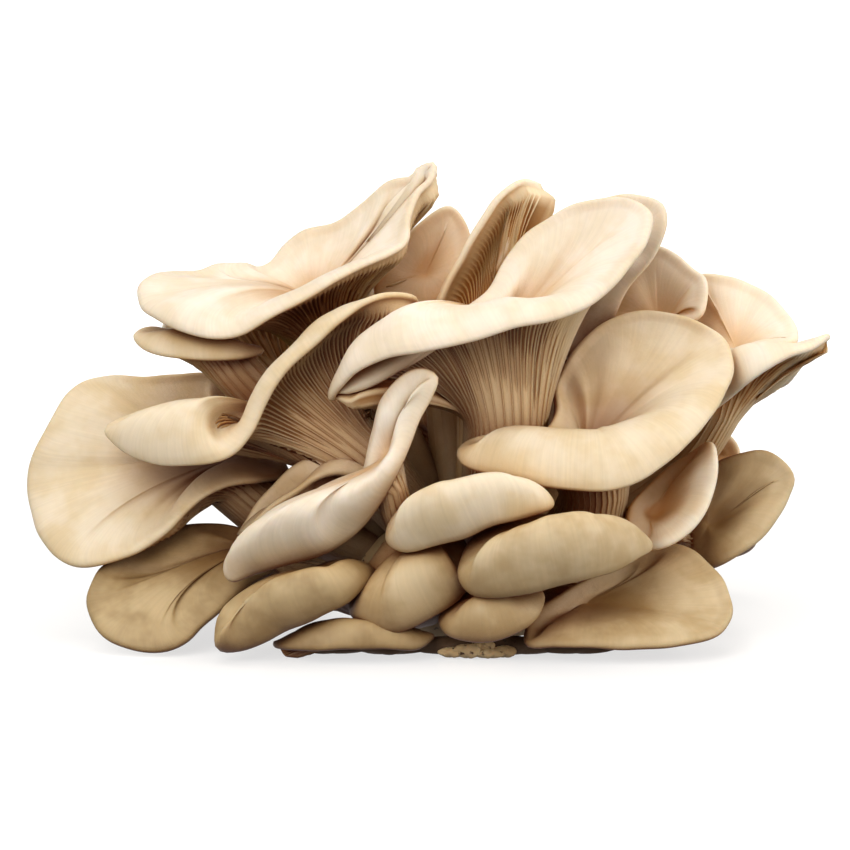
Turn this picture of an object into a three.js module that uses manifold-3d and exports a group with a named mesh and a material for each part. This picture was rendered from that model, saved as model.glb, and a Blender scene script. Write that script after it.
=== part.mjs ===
// A cluster of oyster mushrooms, cut from its block and stood on the cut.
// Each mushroom is one solid: cap, gills and stem. The stems run into one shared base.
// Units are millimetres. +X is to the right, +Y is to the back and +Z is up.
import * as THREE from "three";
import Module from "manifold-3d";

const wasm = await Module();
wasm.setup();

// Every point in the table is [across, depth, height]. Across and height are as seen from the front by an
// eye that looks a little downward, and height starts at the line where the foremost caps meet the table.
const LOOK_DOWN = THREE.MathUtils.degToRad(8);
const FRONT_LINE = -40;

// The flesh
const EDGE = 2.0; // thickness of a cap at its margin
const FLESH = 3.4; // thickness of a cap behind its margin
const THICKENING = 0.03; // extra flesh for each millimetre of reach
const MARGIN = 3.0; // width of the margin of a cap that doesn't roll over
const ROLL_REACH = 0.75; // how much further in a rolled margin starts, for each millimetre that it drops
const GILL_DEPTH = 1.4;
const GILL_RISE = [0.7, 1, 0.9, 0.3]; // share of that depth at each ring under the cap
const GILL_CROWDING = [0.35, 2.5]; // the least and the most room at a gill's foot, in shares of the mean
const FOOT_PULL = 0.35; // how far the gills follow the stem up before they spread, in a flat cap
const RIM_PULL = 0.8; // how far they keep the slope of the margin on their way in
const STEM_SIDES = 8;
const FIRST_SIDE = new THREE.Vector3(1, 0.2, 0); // where a stem's ring starts, roughly
const TOP_RINGS = [0.3, 0.64]; // shares of the way from the throat to the shoulder
const UNDER_RINGS = [0.66, 0.33]; // shares of the way from the foot of the gills to below the shoulder
const STEM_RINGS = [0.34, 0.67, 1]; // shares of the way from the foot of the gills to the end of the stem
const EDGE_ABOVE = 0.3; // share of the margin's thickness over the rim
const EDGE_BELOW = 0.6; // share of it under the rim
const EDGE_BACK = 0.2; // how far the lower corner of the margin is set back, as a share of it
const LOBE_SHARE = 0.7; // how near to the middle of a narrow lobe its shoulder may lie
const GROWTH = 0.42; // how much a body is grown before its neighbours are cut back from it
const SLIVER = 0.03; // what a cut leaves finer than this is smoothed away

// The base, where the stems have grown together
const BASE_CENTRE = [10, 9];
const BASE_CUT = [25, 20]; // half width and half depth of the flat cut that it stands on
const BASE_RINGS = [[3, 1.08], [11, 1.16], [20, 1], [27, 0.68], [30.5, 0.3]]; // height, share of the cut
const BASE_SIDES = 28;
const BASE_FOLDS = 7; // soft folds round it, where stems have merged
const BASE_FOLD_DEPTH = 0.06;

// A rim is a closed loop of [across, depth, height, drop]. Drop is how far the shoulder stands over the rim.
// Facing is the way that the cap's skin faces, and steep is how much of a funnel the cap is.
const MUSHROOMS = [
  {
    "name": "mushroom_front_funnel", "gills": 18, "facing": [0.1, -0.6, 0.8], "steep": 0.6,
    "throat": [41, -13, 50], "stem": [[43, -13, 40], [37, -5, 30], [26, 4, 20]],
    "radius": [8.5, 7], "gill_end": 9,
    "rim": [
      [8.5, -29, 52, 5.5], [10, -33.5, 49, 8], [17, -37, 46.5, 10.5], [26, -39, 44, 11.5],
      [36, -40, 42.8, 12], [47, -40, 43, 12], [55, -37, 45.5, 12], [62, -32, 50.5, 10],
      [69, -25, 57.5, 7], [75, -16, 65.5, 4], [78.5, -8, 73, 2], [77, -1, 80, 1], [72, 4, 84.5, 0],
      [62, 7, 87.7, 0], [52, 6, 87.5, 0], [43, 3, 82.5, 0], [37, -1, 76, 0], [34, -4, 70, 0],
      [33.5, -11, 62, 1], [29, -20, 57, 3], [19, -21, 57, 3.5], [12.5, -23, 55.2, 3],
    ],
  },
  {
    "name": "mushroom_crown", "gills": 22, "facing": [0.05, -0.1, 1], "steep": 0.5,
    "throat": [21, -15, 83], "stem": [[20.5, -10, 58], [18, -2, 38], [14, 5, 22]],
    "radius": [10.2, 8], "gill_end": 26,
    "rim": [
      [-23.5, -27, 65, 4], [-22, -31, 67.5, 6], [-17.5, -35, 72, 9], [-10, -38, 75.5, 10],
      [0, -39, 77, 10], [11, -38, 79.7, 9], [22, -36, 83, 8], [31, -33, 84.7, 6], [41, -29, 89.5, 4],
      [50, -24, 97, 2], [55.5, -18, 104, 1], [57, -11, 112, 0.5], [53, -6, 116, 0], [45, -4, 116.3, 0],
      [37, -4, 114.5, 0], [28, -4, 109, 0.5], [22, -5, 103, 1], [15, -9, 92, 2], [5, -12, 85, 2],
      [-4, -15, 81, 2], [-12, -19, 76, 2], [-19, -23, 70, 3],
    ],
  },
  {
    "name": "mushroom_upright_fan", "gills": 16, "facing": [-0.65, 0.45, 0.6], "steep": 0.1,
    "throat": [13, 8, 90], "stem": [[14.5, 8, 70], [14, 9, 45], [12, 9, 28]],
    "radius": [6, 6], "gill_end": 16,
    "rim": [
      [2, 2, 86, 5], [6.5, 0, 96.5, 5], [10.5, -1, 103.5, 5], [15.5, -1, 111.5, 4.5], [20, 0, 118.5, 3],
      [25, 3, 121.8, 1], [29.7, 5.5, 120.3, 0], [25, 8, 117.5, 0], [21.5, 11, 113, 0], [19, 14, 108, 0],
      [17.5, 16, 102, 0], [13, 18, 93, 1], [7, 18, 87, 2], [2, 11, 83, 4],
    ],
  },
  {
    "name": "mushroom_left_swoop", "gills": 22, "facing": [-0.2, 0.1, 1], "steep": 0.25,
    "throat": [-36, -10, 62], "stem": [[-25, -8, 56], [-12, -4, 45], [2, 3, 28]],
    "radius": [9.5, 7], "gill_end": 20,
    "rim": [
      [-81, -14, 57, 3], [-78, -19, 53.5, 7], [-71, -24, 50.3, 10], [-62, -28, 48.5, 11.5],
      [-54, -30, 48.8, 11], [-48.5, -31, 51, 8.5], [-44.5, -31, 56, 6.5], [-40.5, -30, 64, 6],
      [-35, -29, 72.5, 6], [-27.5, -27, 79.5, 7], [-21, -25, 85.5, 6], [-15, -23, 90, 4],
      [-8, -20, 92, 2], [-2, -16, 90.5, 1], [-4, -9, 86, 1], [-13, -5, 81, 2], [-24, -3, 73, 2],
      [-34, -2, 67, 1.5], [-44, -3, 64.5, 1], [-54, -5, 65, 1], [-64, -7, 64.5, 1.5], [-73, -9, 62, 2],
      [-78.5, -11, 59.5, 2.5],
    ],
  },
  {
    "name": "mushroom_left_crest", "gills": 20, "facing": [0, -0.25, 1], "steep": 0.5,
    "throat": [-29, 10, 90], "stem": [[-23, 16, 74], [-10, 20, 58], [2, 18, 34]],
    "radius": [8, 7], "gill_end": 12,
    "rim": [
      [-73.5, 2, 94, 2], [-72.5, -4, 89.5, 3], [-69, -9, 86.5, 4], [-64, -13, 83.5, 5],
      [-56, -16, 81, 5.5], [-48, -17, 81.5, 5], [-39, -17, 86, 4], [-31, -16, 90, 3.5],
      [-22.5, -14, 96, 3], [-16, -12, 99.5, 3], [-9, -9, 102.3, 2.5], [-5, -5, 105.5, 1],
      [-4, 0, 112, 0.5], [-1.5, 5, 118.5, 0.5], [2.3, 8, 122.5, 0.5], [2.5, 10, 126, 0],
      [-1, 11, 125.5, 0], [-3.5, 12, 123, 0], [-10, 14, 121.5, 0], [-16.5, 17, 116, 0], [-24, 20, 111, 0],
      [-32, 22, 109.5, 0.5], [-37, 22, 105.5, 0.5], [-40.5, 21, 101, 0.8], [-44, 20.5, 99.5, 1],
      [-48, 20, 100.5, 1], [-54, 20, 100.5, 1], [-59, 17, 98.5, 1], [-66, 13, 98, 1], [-71, 8, 97, 1.5],
    ],
  },
  {
    "name": "mushroom_left_tucked", "gills": 10, "facing": [-0.1, -0.3, 1], "steep": 0.3,
    "throat": [-54, -1, 79], "stem": [[-47, 2, 71], [-36, 6, 59], [-24, 10, 46], [-8, 11, 30]],
    "radius": [6, 5.5], "gill_end": 8,
    "rim": [
      [-74.5, -1, 82, 2], [-72, -7, 78.5, 4], [-66, -11, 76, 5], [-56, -12, 75.3, 5], [-47, -10, 76, 4],
      [-42, -4, 77, 2], [-43, 4, 78, 1], [-52, 9, 79, 1], [-63, 9, 81, 1], [-71, 5, 84, 1],
    ],
  },
  {
    "name": "mushroom_far_left", "gills": 18, "facing": [-0.3, -0.5, 0.8], "steep": 0.3,
    "throat": [-51, 1, 50], "stem": [[-48, 2, 42], [-38, 5, 36], [-20, 9, 28], [-2, 10, 20]],
    "radius": [7.5, 6], "gill_end": 8,
    "rim": [
      [-102.5, 2, 46, 2], [-101, -4, 36, 3], [-98, -10, 29.5, 3], [-94, -15, 25, 3], [-89, -19, 22.8, 3],
      [-82, -22, 23.7, 2.5], [-73.5, -23, 26.5, 2], [-67, -22, 31, 2], [-61, -20, 37, 2],
      [-55.5, -17, 41, 2], [-49, -13, 43.5, 2], [-42, -9, 44.5, 1.5], [-36.5, 0, 45.5, 1],
      [-36, 9, 47, 1], [-40.5, 15, 54, 0.5], [-51, 18, 65, 0], [-56, 20, 71.5, 0], [-66, 20, 71.7, 0],
      [-74, 18, 71, 0.5], [-82.5, 16, 71.2, 1], [-88.5, 13, 70, 1.5], [-93, 10, 66.5, 2], [-96, 7, 61, 2],
      [-100.5, 4, 53, 2],
    ],
  },
  {
    "name": "mushroom_left_thin", "gills": 10, "facing": [-0.4, -0.8, 0.45], "steep": 0.1,
    "throat": [-15, -13.5, 48.5], "stem": [[-9, -9, 39], [-3, -4, 29], [2, 0, 18]],
    "radius": [4, 5], "gill_end": 6,
    "rim": [
      [-47.5, -16, 29.5, 2], [-44.5, -18, 33, 2.5], [-39.5, -19, 37.5, 2.5], [-33.5, -19, 41.5, 2.5],
      [-28.5, -19, 44.5, 2.5], [-22, -18, 46, 2], [-16, -17, 45, 1.5], [-11, -14, 45, 1.5],
      [-11, -11, 51, 1], [-17, -12, 54, 1], [-24, -13, 53, 1], [-31, -14, 49.5, 1.5], [-36, -14, 46, 1.5],
      [-41.5, -14, 40.5, 1.5], [-45.5, -14, 34.5, 1.5], [-47.7, -15, 31, 1.5],
    ],
  },
  {
    "name": "mushroom_left_curl", "gills": 16, "facing": [-0.7, -0.2, 0.6], "steep": 0.1,
    "throat": [-10.5, -38.5, 47], "stem": [[-7, -32.5, 37], [-2, -21, 28], [3, 0, 18]],
    "radius": [4.5, 5], "gill_end": 9,
    "rim": [
      [3, -34.5, 70.5, 1.5], [1.3, -35.5, 65, 2], [-1.3, -36.5, 60, 2.5], [-4, -37.5, 54, 3.5],
      [-7, -38, 47.5, 5.5], [-10.3, -38.5, 41, 6.5], [-14.5, -39, 35, 8], [-20, -39, 29.5, 9.5],
      [-27, -39, 26, 10], [-36, -38, 23.7, 9.5], [-43, -37, 21.5, 8], [-48.5, -35, 20, 5],
      [-50, -31, 22.5, 4], [-46, -27, 26, 3], [-39, -25, 28.5, 3], [-31, -24, 31.5, 3],
      [-23, -25, 34.5, 3], [-17.5, -26, 40, 3], [-14, -29, 49, 2.5], [-11.8, -31, 58, 2],
      [-10, -32.5, 66, 1.5], [-6, -33, 71, 1], [-1, -33.5, 72.7, 1],
    ],
  },
  {
    "name": "mushroom_left_low", "gills": 12, "facing": [0.05, -0.45, 0.9], "steep": 0.1,
    "throat": [-26, -38, 23], "stem": [[-23, -30, 18], [-16, -19, 14.5], [0, -3, 11]],
    "radius": [4.5, 5], "gill_end": 7,
    "rim": [
      [-52, -40, 7.5, 5], [-51, -42.5, 3.2, 6], [-46, -44, 2.8, 8], [-40, -45, 5, 9.5],
      [-33, -46, 8.3, 10.5], [-26, -46, 11.2, 10.5], [-20, -45, 14, 9], [-15.5, -42, 18, 6],
      [-13, -37, 21.5, 3], [-15, -31, 23, 2], [-21, -28, 22, 2], [-28, -28, 19, 2], [-36, -30, 15.5, 2.5],
      [-43, -32, 13, 3], [-49, -36, 10.5, 4],
    ],
  },
  {
    "name": "mushroom_left_floor", "gills": 14, "facing": [-0.2, -0.5, 0.85], "steep": 0.3,
    "throat": [-45.5, -10, 27.5], "stem": [[-39, -8, 20], [-28, -4, 17], [-12, 1, 15]],
    "radius": [5.5, 5.5], "gill_end": 7,
    "rim": [
      [-85.5, -22, 16, 1.5], [-84.5, -27, 10.5, 2], [-81.5, -31, 6.3, 2.5], [-77.5, -34, 3.6, 3],
      [-71, -36, 2.4, 3.5], [-65, -36.5, 2.4, 3.5], [-60, -35, 4.5, 3.5], [-56, -32, 8, 3],
      [-51, -28, 12.5, 2.5], [-45, -23, 17.5, 2], [-39, -15, 21.5, 1], [-39.5, -6, 28, 0.5],
      [-47, -3.5, 31.8, 0.5], [-55.5, -4, 33.2, 0.5], [-62, -7, 32.8, 0.5], [-68, -11, 30.3, 0.5],
      [-76, -15, 26.5, 0.5], [-83, -18, 21.5, 1],
    ],
  },
  {
    "name": "mushroom_front_left", "gills": 12, "facing": [0, -0.5, 0.85], "steep": 0.1,
    "throat": [0, -28.5, 32.5], "stem": [[1, -22, 24], [2, -15, 17], [4, -8, 14]],
    "radius": [4.5, 5], "gill_end": 7,
    "rim": [
      [-18.5, -37, 12.5, 4], [-16, -41, 9.5, 7], [-10, -44, 7.4, 9.5], [-3.5, -45, 8.5, 11],
      [3, -44, 12, 10.5], [8.5, -41, 15.7, 8.5], [10.5, -36, 20, 6], [11, -30, 27, 2.5], [6, -26, 32, 1],
      [-2, -25, 33, 1], [-10, -27, 29, 1.5], [-16, -32, 20.5, 3],
    ],
  },
  {
    "name": "mushroom_front_upper", "gills": 12, "facing": [0, -0.45, 0.9], "steep": 0.1,
    "throat": [10, -37, 44.5], "stem": [[10, -28, 37], [10, -16, 30], [10, -5, 23]],
    "radius": [5.5, 6], "gill_end": 9,
    "rim": [
      [-9, -38, 33, 4], [-8.7, -41, 29.5, 6], [-5, -44, 27.4, 10], [2, -46, 29, 12], [9, -47, 31, 12.5],
      [17, -48, 34, 10.5], [25, -47.5, 35.7, 8.5], [30, -46, 37.5, 6], [31.7, -42, 39, 4],
      [28, -36, 39.5, 2], [18, -31, 39, 2], [8, -28, 39, 2], [0, -29, 38, 2.5], [-6, -33, 36, 3],
    ],
  },
  {
    "name": "mushroom_front_middle", "gills": 14, "facing": [0.05, -0.5, 0.85], "steep": 0.1,
    "throat": [32, -38, 35.5], "stem": [[29, -29, 27], [24, -18, 20], [20, -8, 16]],
    "radius": [5.5, 6], "gill_end": 9,
    "rim": [
      [9.5, -40, 26, 4], [8.8, -46, 20.5, 7.5], [11.5, -49, 17, 10.5], [18, -51, 16.4, 12],
      [25, -51.5, 17.4, 13], [32, -51, 18.8, 13.5], [39, -50, 20.6, 13], [46.5, -47, 22.7, 10.5],
      [53, -43, 25.8, 7], [56.3, -37, 28, 4], [54, -31, 30, 2], [48, -27, 31, 1.5], [40, -25, 31.5, 1],
      [31, -24, 31.5, 1], [21, -26, 31, 1.5], [13, -33, 30, 2.5],
    ],
  },
  {
    "name": "mushroom_front_low", "gills": 10, "facing": [0, -0.5, 0.85], "steep": 0.2,
    "throat": [17, -36, 16], "stem": [[16, -24, 11], [14, -14, 12]],
    "radius": [4.5, 5], "gill_end": 5,
    "rim": [
      [3.3, -40, 10.5, 3], [5.5, -44.5, 6.8, 6], [11, -47, 5, 8.5], [18, -47.5, 5.3, 9],
      [24.5, -46, 8, 8.5], [28.5, -43, 12, 5], [29.8, -38, 16, 3], [27, -33, 17.5, 2],
      [18, -30, 17.5, 1.5], [10, -31, 15.5, 1.5], [5.5, -36, 12, 1.5],
    ],
  },
  {
    "name": "mushroom_front_floor", "gills": 10, "facing": [0, -0.3, 0.95], "steep": 0.2,
    "throat": [-14, -38, 8.5], "stem": [[-7, -26, 10], [1, -16, 11.5]],
    "radius": [3.5, 4], "gill_end": 5,
    "rim": [
      [-38, -37, 3.8, 1], [-35, -42, 3, 2.5], [-27, -45, 2.8, 4.5], [-17, -46, 2.8, 5], [-8, -45, 3, 4.5],
      [-1, -43, 3.4, 3], [2.3, -39, 6, 1.5], [1, -36, 6, 1], [-8, -32, 7, 1], [-20, -31, 7.8, 0.5],
      [-30, -33, 7, 0.5], [-35.5, -35, 5.2, 0.5],
    ],
  },
  {
    "name": "mushroom_right_floor", "gills": 16, "facing": [0.15, -0.45, 0.85], "steep": 0.2,
    "throat": [41, -25, 13.5], "stem": [[37, -15, 13], [28, -6, 12]],
    "radius": [5, 5.5], "gill_end": 6,
    "rim": [
      [26, -42, 3.6, 1.5], [33, -45, 3.6, 2], [42, -46, 3.6, 2], [52, -46, 3.6, 2], [61, -45, 3.8, 2],
      [69, -42, 5, 1.5], [75, -37, 7.7, 1], [77.3, -30, 12.5, 0.5], [76, -24, 18, 0.5],
      [73, -19, 22.5, 1], [68, -15, 26.5, 1], [61, -13, 28.5, 1], [53, -15, 27, 1], [45, -20, 22, 1],
      [36, -26, 17, 1], [28, -32, 12, 1], [25, -37, 7.5, 1],
    ],
  },
  {
    "name": "mushroom_right_fold", "gills": 12, "facing": [0.5, -0.6, 0.6], "steep": 0.2,
    "throat": [57, -14, 36], "stem": [[50, -4, 30], [40, 5, 23], [28, 10, 15]],
    "radius": [5, 5], "gill_end": 6,
    "rim": [
      [73.3, -14, 54, 1], [74, -18, 50, 1.5], [73, -21, 43, 2], [70.5, -24, 37, 2], [66, -26, 31.5, 2],
      [60, -27, 28, 2], [55, -25, 27.5, 1.5], [52, -20, 31, 1], [52, -14, 37, 1], [57, -10, 43, 0.5],
      [64, -8, 49, 0.5], [70, -9, 53, 0.5],
    ],
  },
  {
    "name": "mushroom_right_low", "gills": 12, "facing": [0.4, -0.65, 0.6], "steep": 0.2,
    "throat": [73, 0, 33], "stem": [[62, 8, 27], [48, 15, 20], [32, 16, 13]],
    "radius": [5, 5], "gill_end": 6,
    "rim": [
      [75, 6, 48, 0.5], [82, 3, 51.5, 0.5], [88, 2, 52, 0.5], [92.5, 1, 49.3, 0.8], [95, -1, 45, 1],
      [93.5, -3, 40.5, 1], [90.5, -6, 35.8, 1.5], [87, -9, 31, 1.5], [82, -11, 26.5, 1.5],
      [76, -10, 23, 1.5], [71, -6, 21.5, 1], [67, 0, 23, 1], [66, 5, 30, 1], [69, 8, 40, 1],
    ],
  },
  {
    "name": "mushroom_right_small", "gills": 8, "facing": [0.3, -0.6, 0.7], "steep": 0.2,
    "throat": [76, 20, 51], "stem": [[68, 25, 42], [52, 24, 32], [34, 20, 22]],
    "radius": [3.5, 4], "gill_end": 4,
    "rim": [
      [77, 20, 57.8, 0.5], [81, 20, 54.8, 0.5], [82.6, 19, 50, 0.5], [79, 16, 46, 0.5],
      [72, 16, 46.5, 0.5], [69.5, 20, 51, 0.5], [72, 22, 57, 0.5],
    ],
  },
  {
    "name": "mushroom_right_point", "gills": 12, "facing": [0.1, 0.35, 0.9], "steep": 0.2,
    "throat": [79, 8, 67], "stem": [[75, 8, 58], [66, 12, 46], [50, 16, 34], [32, 16, 22]],
    "radius": [4.5, 5], "gill_end": 7,
    "rim": [
      [104, 4, 82, 0.5], [99.5, -2, 79, 3], [94, -5, 76.7, 5], [88.5, -6, 73.2, 7], [83.5, -5, 69.7, 8.5],
      [79, -2, 66.3, 9], [74, 2, 63, 7], [71.5, 8, 62, 3], [74, 14, 61.5, 3], [80, 18, 63, 3],
      [85, 19, 65, 3], [90, 19, 68, 2.5], [94.7, 16, 70, 2], [98.3, 11, 75, 1], [101.5, 8, 79, 0.5],
    ],
  },
  {
    "name": "mushroom_right_high", "gills": 12, "facing": [0.2, -0.5, 0.85], "steep": 0.3,
    "throat": [81, 17, 79], "stem": [[75, 24, 67], [64, 30, 56], [48, 30, 43], [30, 24, 30]],
    "radius": [5, 5], "gill_end": 8,
    "rim": [
      [72, 30, 97.8, 0.5], [80, 28, 97.5, 0.5], [86.5, 27, 95.2, 0.5], [91.5, 24, 91.7, 0.5],
      [95.3, 20, 87, 0.5], [97, 15, 82, 1], [96, 11, 80, 1], [90, 9, 78.5, 1.5], [83, 9, 76.5, 1.5],
      [75, 14, 75, 1], [70, 23, 80, 0.5], [70, 29, 90, 0.5],
    ],
  },
  {
    "name": "mushroom_right_shoulder", "gills": 10, "facing": [0.2, -0.5, 0.85], "steep": 0.3,
    "throat": [61, 18.5, 85.5], "stem": [[56, 23, 72], [48, 23, 57], [34, 22, 42], [20, 18, 28]],
    "radius": [5, 5], "gill_end": 8,
    "rim": [
      [55, 24, 103, 0.5], [60.5, 24, 105.5, 0.5], [66, 23, 103, 0.5], [70, 21, 99.5, 0.5],
      [73, 18, 96.5, 0.5], [73, 15, 90, 1], [71.5, 13.5, 87, 1.5], [66, 13.5, 85, 1.5], [58, 15, 83, 1.5],
      [50, 18, 82, 1], [46, 20.5, 88, 0.5], [50, 22, 97, 0.5],
    ],
  },
  {
    "name": "mushroom_crown_back", "gills": 14, "facing": [0.3, -0.75, 0.55], "steep": 0.1,
    "throat": [35, 13, 86], "stem": [[31, 15, 70], [27, 16, 50], [20, 13, 30]],
    "radius": [5.5, 6], "gill_end": 10,
    "rim": [
      [27, 6, 74, 1], [33, 8, 76.5, 1.5], [41, 10, 81, 1.5], [46.5, 10, 87.5, 1.5], [52, 9, 94.5, 1.5],
      [57, 8, 99.5, 1], [60, 9, 104.5, 1], [62.3, 11, 111, 0.5], [61, 14, 116, 0.5], [54, 17, 118.5, 0.5],
      [46, 18, 117.5, 0.5], [38, 18, 113, 0.5], [30, 17, 104, 0.5], [25, 13, 92, 1], [24, 8, 80, 1],
    ],
  },
  {
    "name": "mushroom_top_back", "gills": 10, "facing": [0, -0.5, 0.85], "steep": 0.2,
    "throat": [27, 32, 96], "stem": [[25, 33, 78], [22, 31, 54], [18, 23.5, 32]],
    "radius": [5, 5.5], "gill_end": 8,
    "rim": [
      [16, 34, 108, 0.5], [22, 37, 112.4, 0.5], [28, 38, 113.4, 0.5], [35, 37, 112.5, 0.5],
      [40, 34, 106.5, 0.5], [40, 31.5, 99, 1], [33, 30.5, 95.5, 1.5], [25, 28.5, 93.5, 1.5],
      [17, 29, 96, 1], [14, 32, 102, 0.5],
    ],
  },
  {
    "name": "mushroom_top_small", "gills": 10, "facing": [0, -0.6, 0.7], "steep": 0.2,
    "throat": [0, 20, 98], "stem": [[3, 23, 80], [6, 22, 56], [8, 17, 34]],
    "radius": [4.5, 5.5], "gill_end": 8,
    "rim": [
      [-13, 16, 93, 2], [-12, 17, 99.5, 2], [-7, 19, 105, 1], [-3, 20, 109.5, 0.5], [2, 22, 114, 0.5],
      [7, 24, 115.5, 0.5], [11, 26, 110, 0.5], [11, 25, 100, 1], [6, 20, 92, 1.5], [-3, 16, 89, 2],
    ],
  },
  {
    "name": "mushroom_back_left_high", "gills": 14, "facing": [-0.3, 0.5, 0.8], "steep": 0.4,
    "throat": [-42, 51, 75], "stem": [[-34, 46, 64], [-20, 36, 50], [-4, 27, 34]],
    "radius": [7, 6], "gill_end": 10,
    "rim": [
      [-70, 48, 85, 2], [-66, 37, 88, 1], [-52, 32, 90, 1], [-38, 34, 92, 1], [-26, 41, 90, 1],
      [-20, 52, 84, 2], [-24, 64, 77, 4], [-36, 72, 73, 5], [-50, 72, 73, 5], [-63, 62, 77, 4],
    ],
  },
  {
    "name": "mushroom_back_centre_high", "gills": 14, "facing": [0, 0.55, 0.8], "steep": 0.4,
    "throat": [10, 54, 84], "stem": [[10, 45, 72], [10, 35, 54], [8, 25, 36]],
    "radius": [7.5, 6.5], "gill_end": 12,
    "rim": [
      [-16, 56, 92, 2], [-14, 42, 101, 1], [-2, 36, 105, 1], [14, 37, 107, 0.5], [28, 38, 106, 1],
      [36, 46, 100, 1], [40, 58, 92, 3], [32, 70, 84, 5], [18, 77, 80, 6], [2, 77, 80, 6],
      [-11, 69, 84, 4],
    ],
  },
  {
    "name": "mushroom_back_right_high", "gills": 14, "facing": [0.4, 0.5, 0.75], "steep": 0.4,
    "throat": [58, 52, 74], "stem": [[52, 47, 63], [38, 38, 49], [20, 27, 34]],
    "radius": [6.5, 6], "gill_end": 10,
    "rim": [
      [49, 44, 88, 1], [57, 40, 91, 1], [68, 41, 89, 1], [79, 46, 83, 2], [84, 56, 76, 3],
      [78, 67, 70, 5], [67, 74, 67, 5], [55, 73, 69, 5], [48, 65, 74, 4], [46, 53, 82, 2],
    ],
  },
  {
    "name": "mushroom_back_left_low", "gills": 12, "facing": [-0.45, 0.5, 0.75], "steep": 0.3,
    "throat": [-59, 47, 50], "stem": [[-48, 43, 43], [-28, 35, 37], [-8, 25, 29]],
    "radius": [6, 6], "gill_end": 8,
    "rim": [
      [-88, 44, 54, 3], [-85, 33, 60, 2], [-74, 29, 64, 1], [-60, 30, 64, 1], [-48, 34, 58, 1],
      [-42, 44, 50, 2], [-44, 58, 44, 4], [-56, 68, 41, 5], [-71, 67, 42, 6], [-83, 57, 47, 5],
    ],
  },
  {
    "name": "mushroom_back_right_low", "gills": 12, "facing": [0.5, 0.5, 0.7], "steep": 0.3,
    "throat": [58, 45, 31], "stem": [[48, 39, 26], [32, 29, 22], [20, 20, 20]],
    "radius": [6, 6], "gill_end": 7,
    "rim": [
      [50, 34, 34, 1], [62, 27, 36, 1], [76, 28, 35, 1], [87, 35, 30, 2], [88, 48, 25, 3],
      [79, 60, 22, 5], [66, 66, 21, 6], [54, 63, 22, 5], [47, 54, 26, 3], [46, 43, 31, 2],
    ],
  },
  {
    "name": "mushroom_back_centre_low", "gills": 14, "facing": [0, 0.65, 0.75], "steep": 0.3,
    "throat": [8, 63, 52], "stem": [[8, 52, 44], [9, 38, 33], [9, 26, 24]],
    "radius": [6.5, 6.5], "gill_end": 8,
    "rim": [
      [-32, 62, 50, 2], [-26, 52, 58, 1], [-10, 49, 63, 0.5], [8, 51, 64, 0.5], [26, 50, 61, 1],
      [38, 56, 54, 1], [41, 67, 46, 3], [32, 79, 39, 5], [16, 85, 35, 7], [-2, 86, 35, 7],
      [-19, 81, 37, 6], [-30, 73, 43, 4],
    ],
  },
  {
    "name": "mushroom_back_left_floor", "gills": 12, "facing": [-0.3, 0.6, 0.75], "steep": 0.3,
    "throat": [-38, 46, 21], "stem": [[-28, 38, 20], [-14, 28, 18], [-2, 20, 16]],
    "radius": [5.5, 5.5], "gill_end": 6,
    "rim": [
      [-72, 42, 20, 2], [-66, 30, 24, 1], [-52, 25, 26, 1], [-38, 30, 26, 1], [-28, 42, 25, 1],
      [-24, 56, 22, 3], [-32, 68, 19, 5], [-46, 73, 17.5, 6], [-60, 68, 17.5, 6], [-70, 56, 18, 5],
    ],
  },
];

const SEEN_SIN = Math.sin(LOOK_DOWN);
const SEEN_COS = Math.cos(LOOK_DOWN);

// The real place of a point that is given as seen from the front.
function place([across, depth, height]) {
  return new THREE.Vector3(across, depth, (height - (depth - FRONT_LINE) * SEEN_SIN) / SEEN_COS);
}

const unit = (v) => v.clone().normalize();
const minus = (a, b) => a.clone().sub(b);
const plus = (a, b, scale = 1) => a.clone().addScaledVector(b, scale);
const cross = (a, b) => new THREE.Vector3().crossVectors(a, b);

// A closed loop through points of [across, depth, height, drop], at even spacing. It is centripetal, so that
// points at uneven spacing make no kinks.
function closedLoop(points, samples) {
  const n = points.length;
  const apart = (a, b) => Math.hypot(b[0] - a[0], b[1] - a[1], b[2] - a[2]);
  const mix = (a, b, ta, tb, t) => a.map((v, i) => ((tb - t) * v + (t - ta) * b[i]) / (tb - ta));
  const dense = [];
  const perSpan = 12;
  for (let s = 0; s < n; s++) {
    const p = [0, 1, 2, 3].map((k) => points[(s + k + n - 1) % n]);
    const t = [0];
    for (let k = 1; k < 4; k++) t.push(t[k - 1] + Math.sqrt(apart(p[k - 1], p[k])));
    for (let k = 0; k < perSpan; k++) {
      const now = t[1] + ((t[2] - t[1]) * k) / perSpan;
      const a = [0, 1, 2].map((q) => mix(p[q], p[q + 1], t[q], t[q + 1], now));
      const b = [0, 1].map((q) => mix(a[q], a[q + 1], t[q], t[q + 2], now));
      dense.push(mix(b[0], b[1], t[1], t[2], now));
    }
  }
  const m = dense.length;
  const along = [0];
  for (let k = 0; k < m; k++) along.push(along[k] + apart(dense[k], dense[(k + 1) % m]));
  const even = [];
  let k = 0;
  for (let i = 0; i < samples; i++) {
    const want = (along[m] * i) / samples;
    while (along[k + 1] < want) k++;
    const share = (want - along[k]) / (along[k + 1] - along[k]);
    even.push(dense[k].map((v, q) => v + share * (dense[(k + 1) % m][q] - v)));
  }
  return even;
}

// A point on the curve that leaves a along ma and reaches b along mb.
function hermite(a, ma, b, mb, t) {
  const t2 = t * t;
  const t3 = t2 * t;
  return a
    .clone()
    .multiplyScalar(2 * t3 - 3 * t2 + 1)
    .addScaledVector(ma, t3 - 2 * t2 + t)
    .addScaledVector(b, 3 * t2 - 2 * t3)
    .addScaledVector(mb, t3 - t2);
}

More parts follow.
